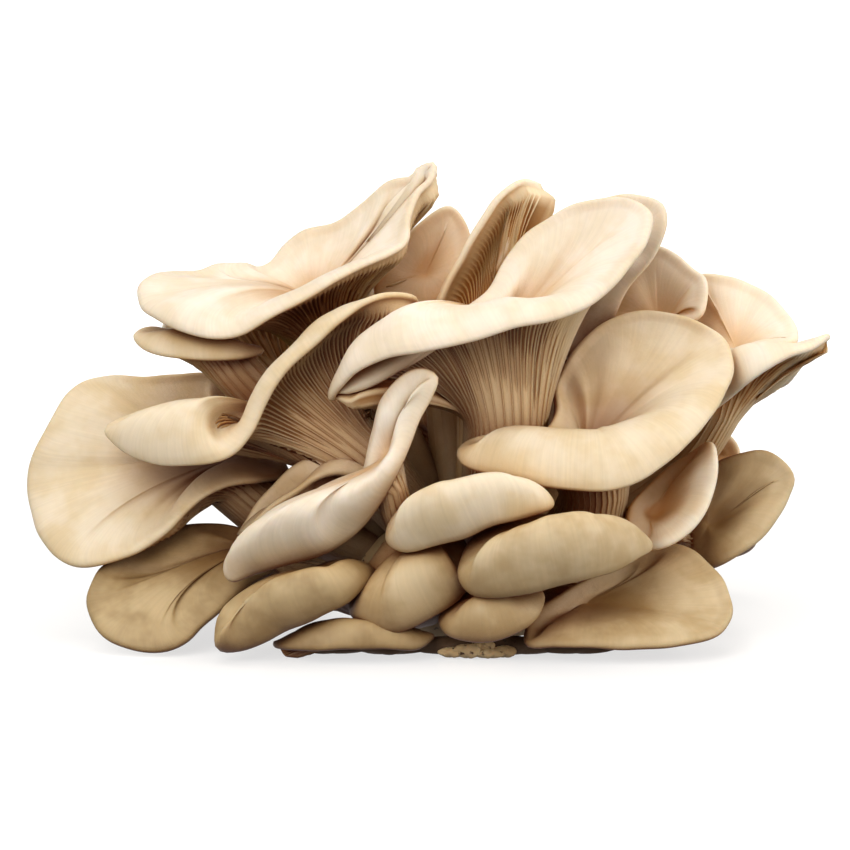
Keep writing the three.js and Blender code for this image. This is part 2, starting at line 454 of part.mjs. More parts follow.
// The stem's centre line with a frame carried down it without twist.
function stemLine(m) {
  const curve = new THREE.CatmullRomCurve3([m.throat, ...m.stem].map(place), false, "centripetal");
  const length = curve.getLength();
  const steps = 24;
  const frames = [];
  let side = FIRST_SIDE;
  for (let i = 0; i <= steps; i++) {
    const centre = curve.getPointAt(i / steps);
    const down = curve.getTangentAt(i / steps).normalize();
    side = unit(plus(side, down, -side.dot(down)));
    frames.push({ centre, down, side, other: cross(side, down) });
  }
  return { length, at: (d) => frames[Math.round(THREE.MathUtils.clamp(d / length, 0, 1) * steps)] };
}

// The mean of each value and its neighbours round a closed ring.
function eased(values, reach) {
  const n = values.length;
  return values.map((_, k) => {
    let sum = 0;
    for (let q = -reach; q <= reach; q++) sum += values[(k + q + n) % n];
    return sum / (2 * reach + 1);
  });
}

// The turn round the stem at which each gill ends. Gills keep their order and crowd as little as they can.
function footTurns(aways, foot) {
  const n = aways.length;
  const step = (2 * Math.PI) / n;
  const seen = aways.map((away) => Math.atan2(away.dot(foot.other), away.dot(foot.side)));
  const wrap = (turn) => Math.atan2(Math.sin(turn), Math.cos(turn));
  const mean = (list) => Math.atan2(
    list.reduce((sum, turn) => sum + Math.sin(turn), 0),
    list.reduce((sum, turn) => sum + Math.cos(turn), 0),
  );
  const start = mean(seen.map((turn, k) => turn - step * k));
  const drift = eased(eased(seen.map((turn, k) => wrap(turn - start - step * k)), Math.round(n / 10)), 2);
  const room = GILL_CROWDING.map((share) => share * step);
  const gaps = drift.map((v, k) => THREE.MathUtils.clamp(step + drift[(k + 1) % n] - v, ...room));
  const whole = gaps.reduce((sum, gap) => sum + gap, 0);
  const turns = [0];
  for (let k = 1; k < n; k++) turns.push(turns[k - 1] + (gaps[k - 1] * 2 * Math.PI) / whole);
  const shift = mean(turns.map((turn, k) => start + step * k + drift[k] - turn));
  return turns.map((turn) => turn + shift);
}

// How far in from the rim the shoulder lies. It stops short of the middle of a narrow lobe.
function shoulderInsets(loop, outs, throat) {
  const insets = loop.map((p, k) => {
    let room = Infinity;
    for (const q of loop) {
      const apart = minus(p.at, q.at);
      const inward = apart.dot(outs[k]);
      if (inward > 0.01) room = Math.min(room, apart.lengthSq() / (2 * inward));
    }
    return Math.min(MARGIN + ROLL_REACH * p.drop, 0.5 * p.at.distanceTo(throat), LOBE_SHARE * room);
  });
  return eased(insets, 2);
}

// The rings of a mushroom, from the throat over the top to the rim, then under the cap and down the stem.
function mushroomRings(m, columns) {
  const throat = place(m.throat);
  const facing = unit(new THREE.Vector3(...m.facing));
  const line = stemLine(m);
  let loop = closedLoop(m.rim, columns).map((p) => ({ at: place(p), drop: p[3] }));
  const area = new THREE.Vector3();
  loop.forEach((p, k) => area.add(cross(minus(p.at, throat), minus(loop[(k + 1) % columns].at, throat))));
  if (area.dot(facing) < 0) loop = [loop[0], ...loop.slice(1).reverse()];
  const gillFoot = line.at(m.gill_end);
  const { lerp, smoothstep } = THREE.MathUtils;
  const radiusAt = (d) => lerp(...m.radius, smoothstep(d, m.gill_end, line.length));
  const turns = footTurns(loop.map((p) => minus(p.at, throat)), gillFoot);
  // A point on the stem's surface, below the rim point that stands at this share of the way round.
  const onStem = (frame, radius, share) => {
    const k = Math.floor(share * columns);
    const turn = lerp(turns[k], turns[k + 1] ?? turns[0] + 2 * Math.PI, share * columns - k);
    const aside = plus(frame.centre, frame.side, radius * Math.cos(turn));
    return plus(aside, frame.other, radius * Math.sin(turn));
  };
  const neighbour = (k, step) => loop[(k + columns + step) % columns].at;
  const runs = loop.map((_, k) => unit(minus(neighbour(k, 1), neighbour(k, -1))));
  const outs = loop.map((p, k) => {
    const chord = minus(p.at, throat);
    return unit(plus(chord, runs[k], -chord.dot(runs[k])));
  });
  const insets = shoulderInsets(loop, outs, throat);
  const rings = { top: [[], [], []], rim: [], edge: [], under: [[], [], [], []], stem: [] };
  loop.forEach((p, k) => {
    const run = runs[k];
    const chord = minus(p.at, throat);
    const reach = chord.length();
    const over = unit(cross(outs[k], run));
    const shoulder = plus(plus(p.at, outs[k], -insets[k]), over, p.drop);
    const inner = minus(shoulder, throat);
    const span = inner.length();
    const level = unit(plus(chord, facing, -chord.dot(facing)));
    const leave = unit(plus(level.multiplyScalar(1 - m.steep), facing, m.steep)).multiplyScalar(span);
    const last = unit(minus(p.at, shoulder));
    const bend = unit(plus(unit(inner), last));
    const end = unit(plus(last.clone().multiplyScalar(2), bend, -1));
    const rimUp = unit(cross(end, run));
    const bendUp = unit(cross(bend, run));
    TOP_RINGS.forEach((t, i) => {
      rings.top[i].push(hermite(throat, leave, shoulder, bend.clone().multiplyScalar(span), t));
    });
    rings.top[2].push(shoulder);
    rings.rim.push(plus(p.at, rimUp, EDGE_ABOVE * EDGE));
    rings.edge.push(plus(plus(p.at, rimUp, -EDGE_BELOW * EDGE), end, -EDGE_BACK * EDGE));
    const under = plus(shoulder, bendUp, -FLESH - THICKENING * reach);
    const foot = onStem(gillFoot, radiusAt(m.gill_end), k / columns);
    const rise = minus(under, foot).length();
    const leaveFoot = gillFoot.down.clone().multiplyScalar(-rise * Math.min(1, FOOT_PULL + m.steep));
    const meet = bend.clone().multiplyScalar(rise * RIM_PULL);
    rings.under[0].push(under);
    UNDER_RINGS.forEach((t, i) => rings.under[i + 1].push(hermite(foot, leaveFoot, under, meet, t)));
    rings.under[3].push(foot);
  });
  STEM_RINGS.forEach((t) => {
    const d = lerp(m.gill_end, line.length, t);
    const shares = Array.from({ length: STEM_SIDES }, (_, k) => k / STEM_SIDES);
    rings.stem.push(shares.map((share) => onStem(line.at(d), radiusAt(d), share)));
  });
  rings.throat = throat;
  rings.root = line.at(line.length).centre;
  return rings;
}

// Joins two rings of any number of points with triangles, walking round both together.
function zip(triangles, inner, outer) {
  let i = 0;
  let j = 0;
  while (i < inner.length || j < outer.length) {
    const a = inner[i % inner.length];
    const b = outer[j % outer.length];
    if (j === outer.length || (i < inner.length && (i + 0.5) / inner.length <= (j + 0.5) / outer.length)) {
      if (inner.length > 1) triangles.push(a, b, inner[(i + 1) % inner.length]);
      i++;
    } else {
      if (outer.length > 1) triangles.push(a, b, outer[(j + 1) % outer.length]);
      j++;
    }
  }
}

// Raises every second column of the underside, which makes the gills.
function raiseGills(under, edge) {
  const smooth = [edge, ...under.map((ring) => [...ring])];
  const n = edge.length;
  under.forEach((ring, r) => {
    for (let k = 1; k < n; k += 2) {
      const around = minus(smooth[r + 1][(k + 1) % n], smooth[r + 1][(k + n - 1) % n]);
      const inward = minus((smooth[r + 2] ?? smooth[r + 1])[k], smooth[r][k]);
      ring[k] = plus(ring[k], unit(cross(inward, around)), GILL_DEPTH * GILL_RISE[r]);
    }
  });
}

function solidFrom(points, triangles) {
  const vertProperties = new Float32Array(points.flatMap((p) => [p.x, p.y, p.z]));
  const triVerts = new Uint32Array(triangles);
  return new wasm.Manifold(new wasm.Mesh({ numProp: 3, vertProperties, triVerts }));
}

// A closed skin over rings that run from one point to another.
function closedSkin(rings) {
  const points = [];
  const numbered = rings.map((ring) => ring.map((v) => points.push(v) - 1));
  const triangles = [];
  for (let k = 0; k + 1 < numbered.length; k++) zip(triangles, numbered[k], numbered[k + 1]);
  return solidFrom(points, triangles);
}

function mushroomSolid(m) {
  const rings = mushroomRings(m, 2 * m.gills);
  const half = (ring) => ring.filter((_, k) => k % 2 === 0);
  raiseGills(rings.under, rings.edge);
  return closedSkin([
    [rings.throat], ...rings.top.map(half), half(rings.rim), rings.edge,
    ...rings.under, ...rings.stem, [rings.root],
  ]);
}

function baseSolid() {
  const ring = (height, share) => Array.from({ length: BASE_SIDES }, (_, k) => {
    const turn = (2 * Math.PI * k) / BASE_SIDES;
    const fold = 1 + BASE_FOLD_DEPTH * Math.cos(BASE_FOLDS * turn + height * 0.1);
    return new THREE.Vector3(
      BASE_CENTRE[0] + BASE_CUT[0] * share * fold * Math.cos(turn),
      BASE_CENTRE[1] + BASE_CUT[1] * share * fold * Math.sin(turn),
      height,
    );
  });
  const rings = [[0, 1], ...BASE_RINGS].map(([height, share]) => ring(height, share));
  const top = new THREE.Vector3(...BASE_CENTRE, BASE_RINGS.at(-1)[0] + 1);
  const cut = new THREE.Vector3(...BASE_CENTRE, 0);
  return closedSkin([[top], ...rings.reverse(), [cut]]);
}

// A body grown by the clearance, for cutting its neighbours back.
function swollen(solid) {
  const mesh = solid.getMesh();
  const at = (k) => new THREE.Vector3(...mesh.vertProperties.slice(3 * k, 3 * k + 3));
  const normals = Array.from({ length: mesh.vertProperties.length / 3 }, () => new THREE.Vector3());
  for (let t = 0; t < mesh.triVerts.length; t += 3) {
    const corners = [0, 1, 2].map((k) => mesh.triVerts[t + k]);
    const [a, b, c] = corners.map(at);
    const normal = unit(cross(minus(b, a), minus(c, a)));
    corners.forEach((k) => normals[k].add(normal));
  }
  return solidFrom(normals.map((normal, k) => plus(at(k), unit(normal), GROWTH)), mesh.triVerts);
}

function largest(solid) {
  return solid.decompose().sort((a, b) => b.volume() - a.volume())[0];
}

function meshFrom(solid, name, colour) {
  const mesh = solid.getMesh();
  const geometry = new THREE.BufferGeometry();
  geometry.setAttribute("position", new THREE.BufferAttribute(mesh.vertProperties, 3));
  geometry.setIndex(new THREE.BufferAttribute(mesh.triVerts, 1));
  const material = new THREE.MeshStandardMaterial({ color: colour, roughness: 0.7, metalness: 0 });
  const body = new THREE.Mesh(geometry, material);
  body.name = name;
  return body;
}

// Where a mushroom presses on the base or on a mushroom above it in the table, it's cut back from that one.
const cluster = new THREE.Group();
const base = baseSolid();
const placed = [{ name: "base", solid: base, grown: swollen(base), colour: 0xd9c6a3 }];
for (const m of MUSHROOMS) {
  let solid = mushroomSolid(m);
  for (const { grown } of placed) {
    if (grown.intersect(solid).volume() > 0) solid = largest(solid.subtract(grown));
  }
  solid = solid.simplify(SLIVER);
  placed.push({ name: m.name, solid, grown: swollen(solid), colour: 0xe6d5b8 });
}
for (const { name, solid, colour } of placed) cluster.add(meshFrom(solid, name, colour));

// The origin is on the table, under the middle of the cluster.
const extent = new THREE.Box3().setFromObject(cluster);
const middle = extent.getCenter(new THREE.Vector3());
cluster.position.set(-middle.x, -middle.y, -extent.min.z);
export default cluster;
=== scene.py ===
"""A cluster of oyster mushrooms, cut from its block and stood on the cut, on a white studio table.

Each mushroom is one piece with a smooth cap, a rounded margin, gills in tiers and a stem that runs into the
shared base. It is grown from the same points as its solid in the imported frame, or from points a few
millimetres off. Lengths in this file are millimetres until a mesh is made, and +X is to the right, +Y to
the back and +Z up.
"""

import math
from functools import partial

import bpy
import numpy as np
from mathutils import Matrix, Vector


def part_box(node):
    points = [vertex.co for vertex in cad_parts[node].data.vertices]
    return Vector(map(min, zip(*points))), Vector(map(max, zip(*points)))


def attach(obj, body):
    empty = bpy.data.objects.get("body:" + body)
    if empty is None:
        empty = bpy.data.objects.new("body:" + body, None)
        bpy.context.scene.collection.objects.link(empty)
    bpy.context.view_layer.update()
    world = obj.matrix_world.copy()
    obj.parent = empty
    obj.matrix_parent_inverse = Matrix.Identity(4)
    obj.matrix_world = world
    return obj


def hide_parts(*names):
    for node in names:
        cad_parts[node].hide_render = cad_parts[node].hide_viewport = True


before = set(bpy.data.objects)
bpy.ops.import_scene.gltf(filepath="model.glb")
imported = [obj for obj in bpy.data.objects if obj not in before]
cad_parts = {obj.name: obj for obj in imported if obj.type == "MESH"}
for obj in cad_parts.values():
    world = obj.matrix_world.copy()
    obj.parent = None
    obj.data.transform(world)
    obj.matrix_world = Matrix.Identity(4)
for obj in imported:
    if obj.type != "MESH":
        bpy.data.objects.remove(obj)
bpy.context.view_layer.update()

MM = 0.001
rng = np.random.default_rng(20)

# Every point in the table is [across, depth, height]. Across and height are as seen from the front by an eye
# that looks a little downward, and height is counted from the line where the foremost caps meet the table.
LOOK_DOWN = math.radians(8)
FRONT_LINE = -40.0
SEEN_SIN = math.sin(LOOK_DOWN)
SEEN_COS = math.cos(LOOK_DOWN)

# The flesh, as in the solids
EDGE = 2.0  # thickness of a cap at its margin
FLESH = 3.4  # thickness of a cap behind its margin
THICKENING = 0.03  # extra flesh for each millimetre of reach
MARGIN = 3.0  # width of the margin of a cap that doesn't roll over
ROLL_REACH = 0.75  # how much further in a rolled margin starts, for each millimetre that it drops
FOOT_PULL = 0.35  # how far the gills follow the stem up before they spread, in a flat cap
RIM_PULL = 0.8  # how far they keep the slope of the margin on their way in
LOBE_SHARE = 0.7  # how near to the middle of a narrow lobe its shoulder may lie

# The fine forms that the solids don't hold
GILL_PITCH = 1.4  # gill to gill at the margin
BACK_GILL_PITCH = 2.2  # the same on the mushrooms behind
GILL_DEPTH = 1.0
GILL_TIERS = (0.0, 0.55, 0.3, 0.55)  # where a gill starts, as a share of the way out from the stem
GILL_START = (1.5, 7.0)  # distance from the edge at which a gill begins to rise and at which it's full
GILL_JITTER = 0.12  # how unevenly gills stand, as a share of the pitch
GILL_FOOT = 0.24  # from a gill's middle to the foot of its flank, as a share of the pitch
GILL_HEIGHTS = (0.8, 1.1)  # lowest and highest gill, as shares of the depth
TIER_FADE = 0.12  # the share of the way out over which a short gill dies out
GILL_SINKING = 0.45  # how much lower gills are at the stem
STEM_RIDGE = 0.55  # height of the ridges on the stem, as a share of the gills'
STEM_FADE = 0.75  # the share of the stem that they reach down
TIGHTEST = 0.35  # least and most room for a gill at the stem, as shares of an even spacing
LOOSEST = 2.5
SKIN_STEP = 1.5  # spacing of the mesh lines round a cap
WAVES = ((70, 45, 30), 0.5)  # lengths and height of the soft waves round the margin
WANDER = ((38, 21, 12), 0.25)  # how the margin wanders in and out
FOLDS = ((55, 34, 22), 0.25)  # low radial folds in the skin

# The rounded edge of the margin, as shares of its thickness
EDGE_HALF = 0.45  # half its height
EDGE_SINK = 0.15  # how far its middle lies under the rim
EDGE_SET_BACK = 0.6  # how far its middle lies in from the rim, in half heights

# Rings of the mesh, from the throat out, over the edge and back in to the stem
SKIN_ROWS = 16
MARGIN_ROWS = 6
EDGE_ROWS = 5
UNDER_MARGIN_ROWS = 4
GILL_ROWS = 15
STEM_ROWS = 9

# The base, where the stems have grown together
BASE_CENTRE = (10.0, 9.0)
BASE_CUT = (25.0, 20.0)  # half width and half depth of the flat cut that it stands on
# Each ring's height, and its width as a share of the cut's
BASE_RINGS = ((0, 1), (3, 1.08), (11, 1.16), (20, 1.0), (27, 0.68), (30.5, 0.3))
BASE_SIDES = 28
BASE_FOLDS = 7
BASE_FOLD_DEPTH = 0.06
FINE_BASE_SIDES = 120
FINE_BASE_ROWS = 26
BASE_LUMPS = ((11, 0.3), (17, 2.1), (23, 4.0))  # how many round the base, and where they start
BASE_LUMP_HEIGHT = 0.35

# A rim is a closed loop of [across, depth, height, drop]. Drop is how far the shoulder stands over the rim.
# Facing is the way that the cap's skin faces, and steep is how much of a funnel the cap is. Radius is the
# stem's at the end of the gills and at its root.
MUSHROOMS = [
    {
        "name": "mushroom_front_funnel", "gills": 18, "facing": [0.1, -0.6, 0.8], "steep": 0.6,
        "throat": [41, -13, 50], "stem": [[43, -13, 40], [37, -5, 30], [26, 4, 20]],
        "radius": [8.5, 7], "gill_end": 9,
        "rim": [
            [8.5, -29, 52, 5.5], [10, -33.5, 49, 8], [17, -37, 46.5, 10.5], [26, -39, 44, 11.5],
            [36, -40, 42.8, 12], [47, -40, 43, 12], [55, -37, 45.5, 12], [62, -32, 50.5, 10],
            [69, -25, 57.5, 7], [75, -16, 65.5, 4], [78.5, -8, 73, 2], [77, -1, 80, 1], [72, 4, 84.5, 0],
            [62, 7, 87.7, 0], [52, 6, 87.5, 0], [43, 3, 82.5, 0], [37, -1, 76, 0], [34, -4, 70, 0],
            [33.5, -11, 62, 1], [29, -20, 57, 3], [19, -21, 57, 3.5], [12.5, -23, 55.2, 3],
        ],
    },
    {
        "name": "mushroom_crown", "gills": 22, "facing": [0.05, -0.1, 1], "steep": 0.5,
        "throat": [21, -15, 83], "stem": [[20.5, -10, 58], [18, -2, 38], [14, 5, 22]],
        "radius": [10.2, 8], "gill_end": 26,
        "rim": [
            [-23.5, -27, 65, 4], [-22, -31, 67.5, 6], [-17.5, -35, 72, 9], [-10, -38, 75.5, 10],
            [0, -39, 77, 10], [11, -38, 79.7, 9], [22, -36, 83, 8], [31, -33, 84.7, 6], [41, -29, 89.5, 4],
            [50, -24, 97, 2], [55.5, -18, 104, 1], [57, -11, 112, 0.5], [53, -6, 116, 0],
            [45, -4, 116.3, 0], [37, -4, 114.5, 0], [28, -4, 109, 0.5], [22, -5, 103, 1], [15, -9, 92, 2],
            [5, -12, 85, 2], [-4, -15, 81, 2], [-12, -19, 76, 2], [-19, -23, 70, 3],
        ],
    },
    {
        "name": "mushroom_upright_fan", "gills": 16, "facing": [-0.65, 0.45, 0.6], "steep": 0.1,
        "throat": [13, 8, 90], "stem": [[14.5, 8, 70], [14, 9, 45], [12, 9, 28]],
        "radius": [6, 6], "gill_end": 16,
        "rim": [
            [2, 2, 86, 5], [6.5, 0, 96.5, 5], [10.5, -1, 103.5, 5], [15.5, -1, 111.5, 4.5],
            [20, 0, 118.5, 3], [25, 3, 121.8, 1], [29.7, 5.5, 120.3, 0], [25, 8, 117.5, 0],
            [21.5, 11, 113, 0], [19, 14, 108, 0], [17.5, 16, 102, 0], [13, 18, 93, 1], [7, 18, 87, 2],
            [2, 11, 83, 4],
        ],
    },
    {
        "name": "mushroom_left_swoop", "gills": 22, "facing": [-0.2, 0.1, 1], "steep": 0.25,
        "throat": [-36, -10, 62], "stem": [[-25, -8, 56], [-12, -4, 45], [2, 3, 28]],
        "radius": [9.5, 7], "gill_end": 20,
        "rim": [
            [-81, -14, 57, 3], [-78, -19, 53.5, 7], [-71, -24, 50.3, 10], [-62, -28, 48.5, 11.5],
            [-54, -30, 48.8, 11], [-48.5, -31, 51, 8.5], [-44.5, -31, 56, 6.5], [-40.5, -30, 64, 6],
            [-35, -29, 72.5, 6], [-27.5, -27, 79.5, 7], [-21, -25, 85.5, 6], [-15, -23, 90, 4],
            [-8, -20, 92, 2], [-2, -16, 90.5, 1], [-4, -9, 86, 1], [-13, -5, 81, 2], [-24, -3, 73, 2],
            [-34, -2, 67, 1.5], [-44, -3, 64.5, 1], [-54, -5, 65, 1], [-64, -7, 64.5, 1.5],
            [-73, -9, 62, 2], [-78.5, -11, 59.5, 2.5],
        ],
    },
    {
        "name": "mushroom_left_crest", "gills": 20, "facing": [0, -0.25, 1], "steep": 0.5,
        "throat": [-29, 10, 90], "stem": [[-23, 16, 74], [-10, 20, 58], [2, 18, 34]],
        "radius": [8, 7], "gill_end": 12,
        "rim": [
            [-73.5, 2, 94, 2], [-72.5, -4, 89.5, 3], [-69, -9, 86.5, 4], [-64, -13, 83.5, 5],
            [-56, -16, 81, 5.5], [-48, -17, 81.5, 5], [-39, -17, 86, 4], [-31, -16, 90, 3.5],
            [-22.5, -14, 96, 3], [-16, -12, 99.5, 3], [-9, -9, 102.3, 2.5], [-5, -5, 105.5, 1],
            [-4, 0, 112, 0.5], [-1.5, 5, 118.5, 0.5], [2.3, 8, 122.5, 0.5], [2.5, 10, 126, 0],
            [-1, 11, 125.5, 0], [-3.5, 12, 123, 0], [-10, 14, 121.5, 0], [-16.5, 17, 116, 0],
            [-24, 20, 111, 0], [-32, 22, 109.5, 0.5], [-37, 22, 105.5, 0.5], [-40.5, 21, 101, 0.8],
            [-44, 20.5, 99.5, 1], [-48, 20, 100.5, 1], [-54, 20, 100.5, 1], [-59, 17, 98.5, 1],
            [-66, 13, 98, 1], [-71, 8, 97, 1.5],
        ],
    },
    {
        "name": "mushroom_left_tucked", "gills": 10, "facing": [-0.1, -0.3, 1], "steep": 0.3,
        "throat": [-54, -1, 79], "stem": [[-47, 2, 71], [-36, 6, 59], [-24, 10, 46], [-8, 11, 30]],
        "radius": [6, 5.5], "gill_end": 8,
        "rim": [
            [-74.5, -1, 82, 2], [-72, -7, 78.5, 4], [-66, -11, 76, 5], [-56, -12, 75.3, 5],
            [-47, -10, 76, 4], [-42, -4, 77, 2], [-43, 4, 78, 1], [-52, 9, 79, 1], [-63, 9, 81, 1],
            [-71, 5, 84, 1],
        ],
    },
    {
        "name": "mushroom_far_left", "gills": 18, "facing": [-0.3, -0.5, 0.8], "steep": 0.3,
        "throat": [-51, 1, 50], "stem": [[-48, 2, 42], [-38, 5, 36], [-20, 9, 28], [-2, 10, 20]],
        "radius": [7.5, 6], "gill_end": 8,
        "rim": [
            [-102.5, 2, 46, 2], [-101, -4, 36, 3], [-98, -10, 29.5, 3], [-94, -15, 25, 3],
            [-89, -19, 22.8, 3], [-82, -22, 23.7, 2.5], [-73.5, -23, 26.5, 2], [-67, -22, 31, 2],
            [-61, -20, 37, 2], [-55.5, -17, 41, 2], [-49, -13, 43.5, 2], [-42, -9, 44.5, 1.5],
            [-36.5, 0, 45.5, 1], [-36, 9, 47, 1], [-40.5, 15, 54, 0.5], [-51, 18, 65, 0],
            [-56, 20, 71.5, 0], [-66, 20, 71.7, 0], [-74, 18, 71, 0.5], [-82.5, 16, 71.2, 1],
            [-88.5, 13, 70, 1.5], [-93, 10, 66.5, 2], [-96, 7, 61, 2], [-100.5, 4, 53, 2],
        ],
    },
    {
        "name": "mushroom_left_thin", "gills": 10, "facing": [-0.4, -0.8, 0.45], "steep": 0.1,
        "throat": [-15, -13.5, 48.5], "stem": [[-9, -9, 39], [-3, -4, 29], [2, 0, 18]],
        "radius": [4, 5], "gill_end": 6,
        "rim": [
            [-47.5, -16, 29.5, 2], [-44.5, -18, 33, 2.5], [-39.5, -19, 37.5, 2.5], [-33.5, -19, 41.5, 2.5],
            [-28.5, -19, 44.5, 2.5], [-22, -18, 46, 2], [-16, -17, 45, 1.5], [-11, -14, 45, 1.5],
            [-11, -11, 51, 1], [-17, -12, 54, 1], [-24, -13, 53, 1], [-31, -14, 49.5, 1.5],
            [-36, -14, 46, 1.5], [-41.5, -14, 40.5, 1.5], [-45.5, -14, 34.5, 1.5], [-47.7, -15, 31, 1.5],
        ],
    },
    {
        "name": "mushroom_left_curl", "gills": 16, "facing": [-0.7, -0.2, 0.6], "steep": 0.0,
        "throat": [-10, -37.8, 51], "stem": [[-7, -32.5, 37], [-2, -21, 28], [3, 0, 18]],
        "radius": [3.6, 5], "gill_end": 9,
        "rim": [
            [3, -34.5, 70.5, 1.5], [1.3, -35.5, 65, 2], [-1.3, -36.5, 60, 2.5], [-4, -37.5, 54, 3.5],
            [-7, -38, 47.5, 5.5], [-10.3, -38.5, 41, 6.5], [-14.5, -39, 35, 8], [-20, -39, 29.5, 9.5],
            [-27, -39, 26, 10], [-36, -38, 23.7, 9.5], [-43, -37, 21.5, 8], [-48.5, -35, 20, 5],
            [-50, -31, 22.5, 4], [-46, -27, 26, 3], [-39, -25, 28.5, 3], [-31, -24, 31.5, 3],
            [-23, -25, 34.5, 3], [-17.5, -26, 40, 3], [-14, -29, 49, 2.5], [-11.8, -31, 58, 2],
            [-10, -32.5, 66, 1.5], [-6, -33, 71, 1], [-1, -33.5, 72.7, 1],
        ],
    },
    {
        "name": "mushroom_left_low", "gills": 12, "facing": [0.05, -0.45, 0.9], "steep": 0.1,
        "throat": [-26, -38, 23], "stem": [[-23, -30, 18], [-16, -19, 14.5], [0, -3, 11]],
        "radius": [4.5, 5], "gill_end": 7,
        "rim": [
            [-52, -40, 7.5, 5], [-51, -42.5, 3.2, 6], [-46, -44, 2.8, 8], [-40, -45, 5, 9.5],
            [-33, -46, 8.3, 10.5], [-26, -46, 11.2, 10.5], [-20, -45, 14, 9], [-15.5, -42, 18, 6],
            [-13, -37, 21.5, 3], [-15, -31, 23, 2], [-21, -28, 22, 2], [-28, -28, 19, 2],
            [-36, -30, 15.5, 2.5], [-43, -32, 13, 3], [-49, -36, 10.5, 4],
        ],
    },
    {
        "name": "mushroom_left_floor", "gills": 14, "facing": [-0.2, -0.5, 0.85], "steep": 0.3,
        "throat": [-45.5, -10, 27.5], "stem": [[-39, -8, 20], [-28, -4, 17], [-12, 1, 15]],
        "radius": [5.5, 5.5], "gill_end": 7,
        "rim": [
            [-85.5, -22, 16, 1.5], [-84.5, -27, 10.5, 2], [-81.5, -31, 6.3, 2.5], [-77.5, -34, 3.6, 3],
            [-71, -36, 2.4, 3.5], [-65, -36.5, 2.4, 3.5], [-60, -35, 4.5, 3.5], [-56, -32, 8, 3],
            [-51, -28, 12.5, 2.5], [-45, -23, 17.5, 2], [-39, -15, 21.5, 1], [-39.5, -6, 28, 0.5],
            [-47, -3.5, 31.8, 0.5], [-55.5, -4, 33.2, 0.5], [-62, -7, 32.8, 0.5], [-68, -11, 30.3, 0.5],
            [-76, -15, 26.5, 0.5], [-83, -18, 21.5, 1],
        ],
    },
    {
        "name": "mushroom_front_left", "gills": 12, "facing": [0, -0.5, 0.85], "steep": 0.1,
        "throat": [0, -28.5, 32.5], "stem": [[1, -22, 24], [2, -15, 17], [4, -8, 14]],
        "radius": [4.5, 5], "gill_end": 7,
        "rim": [
            [-18.5, -37, 12.5, 4], [-16, -41, 9.5, 7], [-10, -44, 7.4, 9.5], [-3.5, -45, 8.5, 11],
            [3, -44, 12, 10.5], [8.5, -41, 15.7, 8.5], [10.5, -36, 20, 6], [11, -30, 27, 2.5],
            [6, -26, 32, 1], [-2, -25, 33, 1], [-10, -27, 29, 1.5], [-16, -32, 20.5, 3],
        ],
    },
    {
        "name": "mushroom_front_upper", "gills": 12, "facing": [0, -0.45, 0.9], "steep": 0.1,
        "throat": [10, -37, 44.5], "stem": [[10, -28, 37], [10, -16, 30], [10, -5, 23]],
        "radius": [5.5, 6], "gill_end": 9,
        "rim": [
            [-9, -38, 33, 4], [-8.7, -41, 29.5, 6], [-5, -44, 27.4, 10], [2, -46, 29, 12],
            [9, -47, 31, 12.5], [17, -48, 34, 10.5], [25, -47.5, 35.7, 8.5], [30, -46, 37.5, 6],
            [31.7, -42, 39, 4], [28, -36, 39.5, 2], [18, -31, 39, 2], [8, -28, 39, 2], [0, -29, 38, 2.5],
            [-6, -33, 36, 3],
        ],
    },
    {
        "name": "mushroom_front_middle", "gills": 14, "facing": [0.05, -0.5, 0.85], "steep": 0.1,
        "throat": [32, -38, 35.5], "stem": [[29, -29, 27], [24, -18, 20], [20, -8, 16]],
        "radius": [5.5, 6], "gill_end": 9,
        "rim": [
            [9.5, -40, 26, 4], [8.8, -46, 20.5, 7.5], [11.5, -49, 17, 10.5], [18, -51, 16.4, 12],
            [25, -51.5, 17.4, 13], [32, -51, 18.8, 13.5], [39, -50, 20.6, 13], [46.5, -47, 22.7, 10.5],
            [53, -43, 25.8, 7], [56.3, -37, 28, 4], [54, -31, 30, 2], [48, -27, 31, 1.5],
            [40, -25, 31.5, 1], [31, -24, 31.5, 1], [21, -26, 31, 1.5], [13, -33, 30, 2.5],
        ],
    },
    {
        "name": "mushroom_front_low", "gills": 10, "facing": [0, -0.5, 0.85], "steep": 0.2,
        "throat": [17, -36, 16], "stem": [[16, -24, 11], [14, -14, 12]],
        "radius": [4.5, 5], "gill_end": 5,
        "rim": [
            [3.3, -40, 10.5, 3], [5.5, -44.5, 6.8, 6], [11, -47, 5, 8.5], [18, -47.5, 5.3, 9],
            [24.5, -46, 8, 8.5], [28.5, -43, 12, 5], [29.8, -38, 16, 3], [27, -33, 17.5, 2],
            [18, -30, 17.5, 1.5], [10, -31, 15.5, 1.5], [5.5, -36, 12, 1.5],
        ],
    },
    {
        "name": "mushroom_front_floor", "gills": 10, "facing": [0, -0.3, 0.95], "steep": 0.2,
        "throat": [-14, -38, 8.5], "stem": [[-7, -26, 10], [1, -16, 11.5]],
        "radius": [3.5, 4], "gill_end": 5,
        "rim": [
            [-38, -37, 3.8, 1], [-35, -42, 3, 2.5], [-27, -45, 2.8, 4.5], [-17, -46, 2.8, 5],
            [-8, -45, 3, 4.5], [-1, -43, 3.4, 3], [2.3, -39, 6, 1.5], [1, -36, 6, 1], [-8, -32, 7, 1],
            [-20, -31, 7.8, 0.5], [-30, -33, 7, 0.5], [-35.5, -35, 5.2, 0.5],
        ],
    },
    {
        "name": "mushroom_right_floor", "gills": 16, "facing": [0.15, -0.45, 0.85], "steep": 0.2,
        "throat": [41, -25, 13.5], "stem": [[37, -15, 13], [28, -6, 12]],
        "radius": [5, 5.5], "gill_end": 6,
        "rim": [
